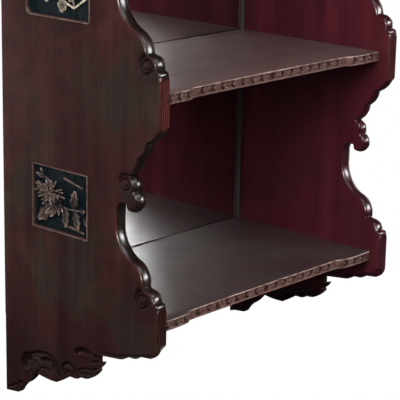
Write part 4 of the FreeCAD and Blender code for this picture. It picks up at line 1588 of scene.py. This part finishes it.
def twig(name: str, line: Sequence[Spot], radius: float, base: float, height: float,
         finish: bpy.types.Material) -> bpy.types.Object:
    """A stem in relief along a line, thinner towards its end.

    Args:
        name: The object's name.
        line: Points along it.
        radius: Half its width at the start.
        base: Height of its underside.
        height: How far it rises.
        finish: Its material.

    Returns:
        The closed stem in (Y, Z, height) coordinates.
    """
    spots = np.array(line, float)
    ahead = np.gradient(spots, axis=0)
    ahead /= np.linalg.norm(ahead, axis=1)[:, None]
    aside = np.stack([-ahead[:, 1], ahead[:, 0]], 1)
    section = ((-1.0, 0.0), (-0.8, 0.62), (0.0, 1.0), (0.8, 0.62), (1.0, 0.0), (0.0, -0.3))
    verts, wear = [], []
    count, size = len(spots), len(section)
    for number in range(count):
        thin = 1 - 0.45 * number / max(1, count - 1)
        knot = 1 + 0.22 * math.sin(number * 2.7)
        for across, up in section:
            place = spots[number] + aside[number] * across * radius * thin * knot
            verts.append((*place, base + up * height * thin))
        # Wear and a painted highlight along the crest.
        wear += [0.2, 0.6, 1.0, 0.6, 0.2, 0.0]
    faces = ring_faces(count, size)
    faces += [list(range(size)), list(range(count * size - 1, (count - 1) * size - 1, -1))]
    stem = new_piece(name, np.array(verts), faces, [finish])
    set_attribute(stem, "wear", np.array(wear))
    return stem


# The sprays, in millimetres behind the front plane and above the shelf's top. A blade row is its
# root, angle, length, width and lift; a stem row is its half width and its points.
BLOOM_MIDDLE_MM = (206, 147)
BLOOM_SQUASH = 0.60
BLOOM_RINGS = ((15, 10.0, 21.0, 6.2, 4, 0.6), (13, 6.5, 17.0, 5.6, 14, 1.5), (10, 3.5, 13.0, 5.0, 26, 2.2),
               (7, 1.5, 9.0, 4.2, 40, 2.8), (4, 0.2, 5.5, 3.6, 60, 3.2))
CALYX_BLADES_MM = ((187, 134, 20, 11, 5, 20), (187, 134, 75, 9, 5, 25), (187, 134, 130, 10, 5, 20),
                   (187, 134, 190, 10, 5, 20), (187, 134, 245, 11, 5, 12))
BRIGHT_BLADES_MM = ((187, 132, 222, 12, 6, 14), (188, 131, 262, 13, 6, 16), (190, 131, 305, 22, 9, 10),
                    (192, 130, 328, 24, 9, 8), (216, 166, 20, 17, 8, 10), (219, 172, 58, 9, 5, 14))
LEAF_BLADES_MM = ((197, 130, 322, 38, 19, 6), (176, 131, 262, 27, 14, 8), (158, 129, 248, 27, 15, 7),
                  (161, 132, 106, 27, 15, 8), (148, 130, 165, 13, 7, 8), (141, 122, 230, 13, 7, 6))
CHRYSANTHEMUM_STEMS_MM = (
    (1.5, ((192, 135), (184, 131), (172, 129.5), (158, 130.5), (147, 131), (137, 134))),
    (2.1, ((174, 105.5), (163, 105), (152, 103), (140, 101))),
    (2.2, ((178, 171.5), (166, 169), (155, 166.5), (143, 163.5))),
    (1.1, ((206, 160), (211, 165), (218, 168))),
)
PLUM_BLOSSOMS_MM = ((178, 99, 9.5), (211, 109, 9.0), (196, 117, 7.5), (162, 110, 6.0), (228, 121, 7.5),
                    (172, 130, 8.5), (204, 141, 9.0), (150, 146, 7.5), (186, 158, 8.5), (222, 162, 7.5),
                    (160, 173, 6.5), (194, 176, 6.5), (146, 122, 5.5), (234, 143, 5.5))
PLUM_STEMS_MM = (
    (1.9, ((131, 115), (140, 108.5), (149, 102.5), (158, 96.5), (166, 99), (176, 103), (190, 107),
           (205, 113), (218, 121), (228, 132), (237, 146))),
    (1.5, ((158, 97), (160, 106), (163, 118), (169, 130), (172, 143), (176, 156), (186, 168), (190, 180))),
    (1.2, ((169, 130), (158, 138), (150, 148), (146, 160))),
    (1.2, ((205, 113), (204, 126), (206, 140), (213, 152), (222, 163))),
    (1.0, ((140, 108), (142, 116), (146, 124))),
)


@dataclass
class Tablet:
    """A carved flower tablet: a dark ground in the recess with its spray in high relief."""

    shape: TabletShape
    spray: Spray
    shelf_top: float
    finishes: Finishes
    repeater: UnitRepeater
    ground_sink: float = 3.9 * MM
    most_rise: float = 1.2 * MM

    def spot(self, back: float, up: float) -> Spot:
        """A point in Y and Z from millimetres behind the front plane and above the shelf."""
        return (self.shape.board_front + back * MM, self.shelf_top + up * MM)

    def blades(self, name: str, rows: Sequence, unit: bpy.types.Object, finish: bpy.types.Material,
               base: float, bulk: float = 1.0) -> bpy.types.Object:
        """Copy a unit onto rows of back, up, angle, length, width and lift.

        Args:
            name: The new object's name.
            rows: The rows, in millimetres and degrees.
            unit: The petal or leaf.
            finish: Its material.
            base: Height of their roots above the ground.
            bulk: Height of the copies against their width.

        Returns:
            The copies in (Y, Z, height) coordinates.
        """
        points, turns, sizes = [], [], []
        for back, up, angle, length, width, lift, *rise in rows:
            height = base + (rise[0] * MM if rise else 0.0)
            points.append((*self.spot(back, up), height))
            turns.append((0.0, -math.radians(lift), math.radians(angle)))
            sizes.append((length * MM, width * MM, width * MM * bulk))
        return self.repeater.grow(name, np.array(points), np.array(turns), np.array(sizes), unit, finish,
                                  seed=len(rows) + self.shape.level)

    def stems(self, rows: Sequence, rise: float, first: bpy.types.Material) -> list[bpy.types.Object]:
        """The stems of a spray.

        Args:
            rows: Half width and points of each stem, in millimetres.
            rise: Their height against their half width.
            first: The first stem's finish.

        Returns:
            The stems in (Y, Z, height) coordinates.
        """
        looks = [first] + [self.finishes.twig] * (len(rows) - 1)
        return [twig(f"stem_{number}", [self.spot(*p) for p in line], half * MM, 0.2 * MM,
                     half * rise * MM, look) for number, ((half, line), look) in enumerate(zip(rows, looks))]

    def chrysanthemum(self) -> list[bpy.types.Object]:
        """The flower in profile with its calyx, leaves, bud and stems.

        Returns:
            The relief's pieces in (Y, Z, height) coordinates.
        """
        finish = self.finishes
        petal = blade_unit("petal_unit", 0.34, 0.10, power=0.55)
        leaf = blade_unit("leaf_unit", 0.20, 0.04, lobes=3, rows=11, power=0.5)
        middle = BLOOM_MIDDLE_MM
        rows = []
        for ring, (count, inner, length, width, lift, rise) in enumerate(BLOOM_RINGS):
            for number in range(count):
                angle = 360 * (number + 0.5 * (ring % 2)) / count + 7 * math.sin(number * 2.3 + ring)
                turn = math.radians(angle)
                rows.append((middle[0] + inner * math.cos(turn), middle[1] + inner * math.sin(turn), angle,
                             length * (1 + 0.12 * math.sin(number * 1.7 + ring)), width, lift, rise))
        bloom = self.blades("bloom", rows, petal, finish.petal, 0.4 * MM, 0.9)
        squash = points_of(bloom)
        centre = self.spot(*middle)[1]
        squash[:, 1] = centre + (squash[:, 1] - centre) * BLOOM_SQUASH
        bloom.data.vertices.foreach_set("co", squash.astype(np.float32).ravel())
        pieces = [bloom,
                  self.blades("calyx", CALYX_BLADES_MM, leaf, finish.edge, 2.6 * MM, 0.8),
                  self.blades("bright_leaves", BRIGHT_BLADES_MM, petal, finish.petal, 1.4 * MM, 0.8),
                  self.blades("leaves", LEAF_BLADES_MM, leaf, finish.leaf, 0.9 * MM, 0.7)]
        for unit in (petal, leaf):
            bpy.data.objects.remove(unit)
        return pieces + self.stems(CHRYSANTHEMUM_STEMS_MM, 1.5, finish.twig)

    def plum(self) -> list[bpy.types.Object]:
        """Plum twigs with five-petalled blossoms.

        Returns:
            The relief's pieces in (Y, Z, height) coordinates.
        """
        finish = self.finishes
        petal = blade_unit("round_petal_unit", 0.26, 0.20, power=0.42)
        eye = blade_unit("stamen_unit", 0.5, 0.45, rows=4, power=0.4)
        petals, eyes = [], []
        for order, (back, up, radius) in enumerate(PLUM_BLOSSOMS_MM):
            for number in range(5):
                petals.append((back, up, 72 * number + 31 * order, radius, radius * 1.05, 10, 1.6))
                turn = math.radians(72 * number + 31 * order + 36)
                eyes.append((back + 0.9 * math.cos(turn), up + 0.9 * math.sin(turn), 72 * number + 36,
                             radius * 0.24, radius * 0.2, 30, 2.6))
        pieces = [self.blades("blossoms", petals, petal, finish.blossom, 0.8 * MM, 0.8),
                  self.blades("stamens", eyes, eye, finish.petal, 1.2 * MM, 1.0)]
        for unit in (petal, eye):
            bpy.data.objects.remove(unit)
        return pieces + self.stems(PLUM_STEMS_MM, 1.6, finish.blossom)

    def ground(self) -> bpy.types.Object:
        """The slab behind the spray, bedded on the floor of the recess.

        Returns:
            The slab in (Y, Z, height) coordinates.
        """
        outline = self.shape.outline(TabletShape.LIP + 0.05 * MM)
        count = len(outline)
        bed = -5.0 * MM + self.ground_sink
        verts = np.concatenate([np.column_stack([outline, np.full(count, height)])
                                for height in (bed, 0.0)])
        return new_piece("ground", verts, prism_faces(count), [self.finishes.ground])

    def build(self) -> bpy.types.Object:
        """Make the finished tablet.

        Returns:
            The piece, which stands for the frame's own.
        """
        relief = self.chrysanthemum() if self.spray is Spray.CHRYSANTHEMUM else self.plum()
        low_margin, high_margin = self.shape.outline(3.3 * MM).min(0), self.shape.outline(3.3 * MM).max(0)
        for piece in relief:
            points = points_of(piece)
            points[:, :2] = np.clip(points[:, :2], low_margin, high_margin)
            limit = self.ground_sink + self.most_rise
            over = points[:, 2] > limit * 0.7
            points[over, 2] = limit * (1 - 0.3 * np.exp(-(points[over, 2] / limit - 0.7) / 0.3))
            piece.data.vertices.foreach_set("co", points.astype(np.float32).ravel())
        whole = join(self.shape.named("tablet_spray"), [self.ground(), *relief])
        flat = points_of(whole)
        flat[:, 2] -= self.ground_sink
        whole.data.vertices.foreach_set("co", self.shape.world(flat).astype(np.float32).ravel())
        tidy_mesh(whole, 40.0, 1e-7)
        keep_slot(whole, self.shape.named("tablet"))
        return whole


@dataclass
class ShelfEdge:
    """The carved strip along a board's front: end blocks, lumped shoulders and a running leaf scroll."""

    node: str
    finishes: Finishes
    board_finish: bpy.types.Material
    step: float = 0.8 * MM
    block: float = 58 * MM
    turn: float = 13 * MM
    middle_step: float = 8.0 * MM
    bow: float = 1.2 * MM
    swell: float = 1.5 * MM
    band_ends: int = 3

    # Height above the strip's top and distance behind its front line, in millimetres.
    TOP_FILLET_MM = ((0.0, 1.3), (-0.3, 0.5), (-0.95, 0.0), (-1.7, 0.1), (-2.35, 0.75))
    BOTTOM_FILLET_MM = ((-11.9, 0.8), (-12.5, 0.15), (-13.3, 0.0), (-14.1, 0.45), (-14.5, 1.3))
    BAND_MM = (-2.7, -11.5)
    BAND_ROWS = 12
    BAND_INSET = 0.45 * MM

    # Length and height of one carved unit, and its strokes: points, half width and depth.
    UNIT_LONG_MM = 20.4
    UNIT_HIGH_MM = 8.8
    UNIT_MM = (
        (((-1.6, 9.2), (0.8, 7.2), (3.2, 4.6), (1.2, 2.0), (-0.8, 0.0)), 1.35, 2.6),
        (((1.6, 9.2), (2.4, 4.4), (1.6, -0.6)), 4.2, 0.9),
        (((8.2, 7.6), (10.6, 6.4), (13.4, 6.6), (15.4, 7.8)), 0.8, 1.0),
        (((7.6, 1.4), (10.2, 2.2), (12.6, 1.6), (14.8, 0.6)), 0.8, 1.0),
        (((9.4, 4.4), (12.0, 4.2), (14.8, 4.8)), 0.55, 0.6),
    )

    def __post_init__(self) -> None:
        """Read the strip's place from the frame."""
        self.low, self.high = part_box(self.node)

    def setback(self, across: np.ndarray) -> np.ndarray:
        """How far the front line lies behind the end blocks' front.

        Args:
            across: Places along X.

        Returns:
            The setback at each place.
        """
        half = self.high.x
        outer, inner = half - self.block, half - self.block - self.turn
        reach = np.abs(across)
        swell = self.swell * ((reach - outer - self.block / 2) / (self.block / 2)) ** 2
        share = np.clip((reach - inner) / self.turn, 0, 1)
        shoulder = self.middle_step - (self.middle_step - self.swell) * np.sin(share * math.pi / 2)
        notch = 1.5 * MM * np.exp(-((reach - outer + 1.2 * MM) / (0.9 * MM)) ** 2)
        notch = notch + 1.2 * MM * np.exp(-((reach - inner - 1.0 * MM) / (0.9 * MM)) ** 2)
        middle = self.middle_step + self.bow * (1 - (reach / inner) ** 2)
        return np.where(reach >= outer, swell, np.where(reach > inner, shoulder, middle)) + notch

    def strokes(self) -> list[Cut]:
        """The carved units along the band, running out from the middle to both ends.

        Returns:
            Their strokes.
        """
        half = self.high.x
        inner = half - self.block - self.turn
        count = round(inner / (self.UNIT_LONG_MM * MM))
        starts = [i * inner / count for i in range(count)]
        sizes = [inner / count] * count
        outer, room = half - self.block, self.block - 1 * MM
        starts += [outer + 1.0 * MM + i * room / self.band_ends for i in range(self.band_ends)]
        sizes += [room / self.band_ends] * self.band_ends
        cuts = []
        floor = self.high.z + self.BAND_MM[1] * MM
        for sign in (-1, 1):
            for number, (start, size) in enumerate(zip(starts, sizes)):
                wobble = 0.35 * math.sin(number * 2.1 + sign)
                for points, half_width, depth in self.UNIT_MM:
                    line = []
                    for along, up in points:
                        raised = up if (number + (sign > 0)) % 2 else self.UNIT_HIGH_MM - up
                        line.append((sign * (start + (along + wobble) / self.UNIT_LONG_MM * size),
                                     floor + raised * MM))
                    cuts.append(Cut(line, half_width * MM, depth * MM))
        return cuts

    def build(self) -> bpy.types.Object:
        """Make the finished strip.

        Returns:
            The piece, which stands for the frame's own.
        """
        half = self.high.x
        count = round(2 * half / self.step)
        across = np.linspace(-half, half, count + 1)
        back = self.setback(across)
        heights = [z for z, _ in self.TOP_FILLET_MM]
        insets = [np.full(len(across), y * MM) for _, y in self.TOP_FILLET_MM]
        band = np.linspace(*self.BAND_MM, self.BAND_ROWS)
        strokes = self.strokes()
        places = np.array([(x, self.high.z + z * MM) for z in band for x in across])
        carving = np.clip(sum(cut.sink(places) for cut in strokes), 0, 2.2 * MM)
        carving = carving.reshape(self.BAND_ROWS, -1)
        heights += list(band)
        insets += [self.BAND_INSET + row for row in carving]
        heights += [z for z, _ in self.BOTTOM_FILLET_MM]
        insets += [np.full(len(across), y * MM) for _, y in self.BOTTOM_FILLET_MM]
        flat = np.ones(len(across))
        rows = [np.column_stack([across, self.low.y + back + inset, flat * (self.high.z + z * MM)])
                for z, inset in zip(heights, insets)]
        rows.insert(0, np.column_stack([across, flat * self.high.y, flat * self.high.z]))
        rows.append(np.column_stack([across, flat * self.high.y, flat * self.low.z]))
        wide, deep = len(across), len(rows)
        faces = [[r * wide + i, r * wide + i + 1, (r + 1) % deep * wide + i + 1, (r + 1) % deep * wide + i]
                 for r in range(deep) for i in range(wide - 1)]
        faces += [[r * wide for r in range(deep)], [r * wide + wide - 1 for r in reversed(range(deep))]]
        piece = new_piece(f"{self.node}_carved", np.concatenate(rows), faces,
                          [self.finishes.strip, self.board_finish])
        first = 1 + len(self.TOP_FILLET_MM)
        # Painted shade in the carving; the top fillet gets the full light tone as a painted highlight, the
        # band's crests and the bottom fillet a little of it.
        hollow = np.zeros((deep, wide))
        hollow[first:first + self.BAND_ROWS] = np.clip(carving / (2.0 * MM), 0, 0.9)
        wear = np.zeros((deep, wide))
        wear[2:4] = 1.0
        wear[first:first + self.BAND_ROWS] = 0.10 * (1 - hollow[first:first + self.BAND_ROWS])
        wear[first + self.BAND_ROWS + 1:first + self.BAND_ROWS + 4] = 0.22
        set_attribute(piece, "hollow", hollow.ravel())
        set_attribute(piece, "wear", wear.ravel())
        tidy_mesh(piece, 45.0)
        for face in piece.data.polygons:
            if face.normal.z > 0.9 and face.center.z > self.high.z - 0.1 * MM:
                face.material_index = 1
        keep_slot(piece, self.node)
        return piece


@dataclass
class MirrorPane:
    """A mirror plate with a narrow ground bevel round its face."""

    node: str
    finishes: Finishes
    bevel: float = 1.6 * MM
    bevel_drop: float = 0.7 * MM

    def build(self) -> bpy.types.Object:
        """Make the finished plate.

        Returns:
            The piece, which stands for the frame's own.
        """
        low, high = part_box(self.node)
        rows = ((0.0, high.y), (0.0, low.y + self.bevel_drop), (self.bevel, low.y))
        verts = []
        for margin, y in rows:
            verts += [(low.x + margin, y, low.z + margin), (high.x - margin, y, low.z + margin),
                      (high.x - margin, y, high.z - margin), (low.x + margin, y, high.z - margin)]
        faces = ring_faces(len(rows), 4) + [[3, 2, 1, 0], [8, 9, 10, 11]]
        piece = new_piece(f"{self.node}_plate", np.array(verts), faces,
                          [self.finishes.glass_edge, self.finishes.mirror])
        tidy_mesh(piece, 5.0)
        for face in piece.data.polygons:
            if face.normal.y < -0.99:
                face.material_index = 1
        keep_slot(piece, self.node)
        return piece


@dataclass
class CrestBoard:
    """The low scrolled board on top, with a moulded edge, an incised line and two volutes."""

    finishes: Finishes
    end_share: float = 0.62
    step: float = 1.6 * MM

    def build(self) -> bpy.types.Object:
        """Make the finished crest.

        Returns:
            The piece, which stands for the frame's own.
        """
        low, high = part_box("crest_board")
        half, rise = high.x, high.z - low.z

        def spot(x: float, z: float) -> Spot:
            """A point of the right half."""
            return (x * half, low.z + z * rise)

        start = spot(1, self.end_share)
        right = [start] + run_points(start, CREST_SHARES, spot, self.step)
        left = [(-x, z) for x, z in reversed(right[:-1])]
        bottom = line_points((-half, low.z), (half, low.z), 40 * MM)
        points = np.array(line_points(left[-1], (-half, low.z), 12 * MM) + bottom
                          + line_points((half, low.z), start, 12 * MM)[:-1] + right + left)
        edge = np.where(points[:, 1] > low.z + self.end_share * rise * 0.55, 1.0, 0.0)
        none = np.zeros(len(points))
        cuts, zones = [], []
        for sign in (-1, 1):
            for x, z, radius, degrees in ((0.155, 0.60, 13 * MM, 60), (0.42, 0.36, 11 * MM, 100),
                                          (0.86, 0.30, 12 * MM, 80)):
                centre = (sign * x * half, low.z + z * rise)
                cuts.append(Volute(centre, radius, degrees if sign < 0 else 180 - degrees, depth=2.0 * MM,
                                   wide=3.0 * MM, turn=-sign))
                zones.append(Zone((centre[0] - 20 * MM, centre[1] - 20 * MM),
                                  (centre[0] + 20 * MM, centre[1] + 20 * MM), 1.1 * MM))
        board = CarvedBoard(points, none, edge, none, high.y - low.y, none, cuts=cuts, zones=zones,
                            torus_depth=1.6 * MM, quirk_depth=1.0 * MM)
        line = [tuple(p) for p, shaped in zip(board.lip + board.inward * 8 * MM, edge) if shaped]
        gaps, _ = board.fence.nearest(np.array(line))
        runs, run = [], []
        for place, gap in zip(line, gaps):
            if gap > 7.4 * MM:
                run.append(place)
            elif run:
                runs.append(run)
                run = []
        runs.append(run)
        board.cuts += [Cut(run[::2], 0.8 * MM, 1.2 * MM) for run in runs if len(run) > 6]
        board.rings = (6.4 * MM, 7.2 * MM, 8.0 * MM, 8.8 * MM, 9.6 * MM)
        flat, faces = board.solid()
        verts = np.column_stack([flat[:, 0], low.y + flat[:, 2], flat[:, 1]])
        piece = new_piece("crest_carved", verts, faces,
                          [self.finishes.outer, self.finishes.outer, self.finishes.edge])
        tidy_mesh(piece)
        places = points_of(piece)
        board.dress(piece, places[:, [0, 2]], places[:, 1] - low.y)
        keep_slot(piece, "crest_board")
        return piece


@dataclass
class Studio:
    """The camera, the lamps, the floor and the white surround."""

    place: Vector = field(default_factory=lambda: Vector((-1.7310, -1.7040, -0.1402)))
    middle: Vector = field(default_factory=lambda: Vector((0.0, -0.15, -0.6)))
    yaw: float = 0.837108
    pitch: float = 0.268961
    roll: float = 0.019139
    near_clip: float = 0.05
    far_clip: float = 60.0
    focal_pixels: float = 1654.314
    image_pixels: float = 400.0
    sensor: float = 36.0
    floor_height: float = -1.75
    floor_radius: float = 14.0
    floor_corners: int = 96
    floor_bounce: Colour = (0.08, 0.075, 0.075)
    bright_side: Colour = (0.40, -0.92, 0.0)
    band_strength: float = 38.0
    room_seen: float = 0.9
    band_side: tuple[float, float] = (0.85, 0.97)
    band_foot: tuple[float, float] = (0.05, 0.20)
    band_head: tuple[float, float] = (0.50, 0.32)
    quiet_low: float = 0.004
    quiet_high: float = 0.03
    quiet_rise: tuple[float, float] = (-0.2, 0.9)
    lamps: tuple = (
        ("left_softbox", (-0.85, -0.30, 0.42), 2.3, 1.6, 68.0),
        ("top_softbox", (-0.30, -0.60, 0.74), 2.3, 1.2, 24.0),
        ("front_softbox", (0.10, -0.95, 0.30), 3.4, 1.6, 14.0),
        ("right_softbox", (0.94, 0.34, 0.03), 3.2, 2.2, 60.0),
        ("rear_softbox", (-0.15, 0.98, 0.03), 3.2, 2.2, 50.0),
    )

    def camera(self) -> None:
        """Set up the photograph's view."""
        data = bpy.data.cameras.new("camera")
        data.sensor_width = self.sensor
        data.lens = self.focal_pixels / self.image_pixels * self.sensor
        data.clip_start, data.clip_end = self.near_clip, self.far_clip
        camera = linked("camera", data)
        camera.matrix_world = (Matrix.Translation(self.place) @ Matrix.Rotation(-self.yaw, 4, "Z")
                               @ Matrix.Rotation(math.pi / 2 - self.pitch, 4, "X")
                               @ Matrix.Rotation(self.roll, 4, "Z"))
        bpy.context.scene.camera = camera

    def lamp(self, name: str, toward: Colour, distance: float, size: float, watts: float) -> None:
        """A square soft lamp that looks at the cabinet's middle.

        Args:
            name: The lamp's name.
            toward: Direction from the cabinet to the lamp.
            distance: How far away it stands.
            size: Its edge length.
            watts: Its power.
        """
        data = bpy.data.lights.new(name, "AREA")
        data.shape, data.size, data.energy = "SQUARE", size, watts
        direction = Vector(toward).normalized()
        linked(name, data).matrix_world = (Matrix.Translation(self.middle + direction * distance)
                                           @ direction.to_track_quat("Z", "Y").to_matrix().to_4x4())

    def seen(self, tree: Tree) -> tuple[bpy.types.NodeSocket, bpy.types.Node]:
        """How far a ray comes from the camera or from a mirror, with the node that tells a ray's kind."""
        path = tree.add("ShaderNodeLightPath")
        mirrored = tree.math("MULTIPLY", path.outputs["Is Singular Ray"], self.room_seen)
        return tree.math("MAXIMUM", path.outputs["Is Camera Ray"], mirrored), path

    def world(self) -> None:
        """White surround for the camera; quiet for the cabinet but for a bright band to the right."""
        world = bpy.data.worlds.new("surround")
        bpy.context.scene.world = world
        world.use_nodes = True
        tree = Tree(world.node_tree)
        way = tree.add("ShaderNodeTexCoord").outputs["Generated"]
        up = tree.add("ShaderNodeSeparateXYZ", {0: way}).outputs["Z"]
        toward = tree.add("ShaderNodeVectorMath", {0: way, 1: self.bright_side}, operation="DOT_PRODUCT")
        side = tree.ramp(toward.outputs["Value"], *self.band_side)
        window = tree.math("MULTIPLY", tree.ramp(up, *self.band_foot), tree.ramp(up, *self.band_head))
        band = tree.math("MULTIPLY", tree.math("MULTIPLY", side, window), self.band_strength)
        seen, path = self.seen(tree)
        glossy = tree.math("MULTIPLY", path.outputs["Is Glossy Ray"], band)
        quiet = tree.math("ADD", self.quiet_low, tree.math(
            "MULTIPLY", tree.ramp(up, *self.quiet_rise), self.quiet_high - self.quiet_low))
        strength = tree.math("MAXIMUM", seen, tree.math("ADD", quiet, glossy))
        shader = tree.add("ShaderNodeBackground", {"Color": (1.0, 1.0, 1.0), "Strength": strength})
        tree.add("ShaderNodeOutputWorld", {"Surface": shader.outputs[0]})

    def floor(self) -> None:
        """A wide pale floor that the camera sees as white."""
        count, radius = self.floor_corners, self.floor_radius
        angles = [2 * math.pi * i / count for i in range(count)]
        verts = [(0.0, 0.0, self.floor_height)]
        verts += [(radius * math.cos(a), radius * math.sin(a), self.floor_height) for a in angles]
        faces = [(0, i + 1, (i + 1) % count + 1) for i in range(count)]
        material, tree = new_material("pale_floor")
        matt = tree.add("ShaderNodeBsdfDiffuse", {"Color": self.floor_bounce})
        glow = tree.add("ShaderNodeEmission", {"Color": (1.0, 1.0, 1.0), "Strength": 1.0})
        mixed = tree.add("ShaderNodeMixShader", {0: self.seen(tree)[0], 1: matt.outputs[0],
                                                2: glow.outputs[0]})
        tree.add("ShaderNodeOutputMaterial", {"Surface": mixed.outputs[0]})
        new_piece("floor", np.array(verts), faces, [material])

    def build(self) -> None:
        """Make the whole studio."""
        self.camera()
        self.world()
        self.floor()
        for lamp in self.lamps:
            self.lamp(*lamp)
        bpy.context.scene.view_settings.view_transform = "Standard"


def dress_nodes(nodes: dict, material: bpy.types.Material, names: Sequence[str]) -> None:
    """Give the frame's own nodes a finish.

    Args:
        nodes: The frame's nodes.
        material: The finish.
        names: Which nodes get it.
    """
    for name in names:
        mesh = nodes[name].data
        mesh.materials.clear()
        mesh.materials.append(material)


def main() -> None:
    """Build the looks around the frame."""
    logging.basicConfig(level=logging.INFO, format="%(message)s")
    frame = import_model()
    nodes = frame["nodes"]
    finishes = Finishes()
    repeater = UnitRepeater()
    boards = ["shelf_1", "shelf_2", "shelf_3", "top_board"]
    tops = [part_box(name)[1].z for name in boards]
    bays = range(1, len(tops))
    for side in Side:
        SideBoard(side, tops, finishes).build()
        for level, top in enumerate(tops[:-1]):
            shape = TabletShape(side, level)
            TabletFrame(shape, finishes).build()
            spray = Spray.PLUM if level else Spray.CHRYSANTHEMUM
            Tablet(shape, spray, top, finishes, repeater).build()
        dress_nodes(nodes, finishes.bead, [f"mirror_bead_{side.word}_{bay}" for bay in bays])
    for number, node in enumerate(("shelf_edge_1", "shelf_edge_2", "shelf_edge_3", "top_edge")):
        ShelfEdge(node, finishes, finishes.board if number else finishes.low_board).build()
    for bay in bays:
        MirrorPane(f"mirror_{bay}", finishes).build()
    CrestBoard(finishes).build()
    # The upper shelves take the painted-lighter polish and the lowest shelf the painted-darker one.
    dress_nodes(nodes, finishes.board, boards[1:])
    dress_nodes(nodes, finishes.outer, ["hanging_rail"])
    dress_nodes(nodes, finishes.low_board, boards[:1])
    dress_nodes(nodes, finishes.backing, [f"backing_board_{number}" for number in range(1, 5)])
    Studio().build()


if __name__ == "__main__":
    main()
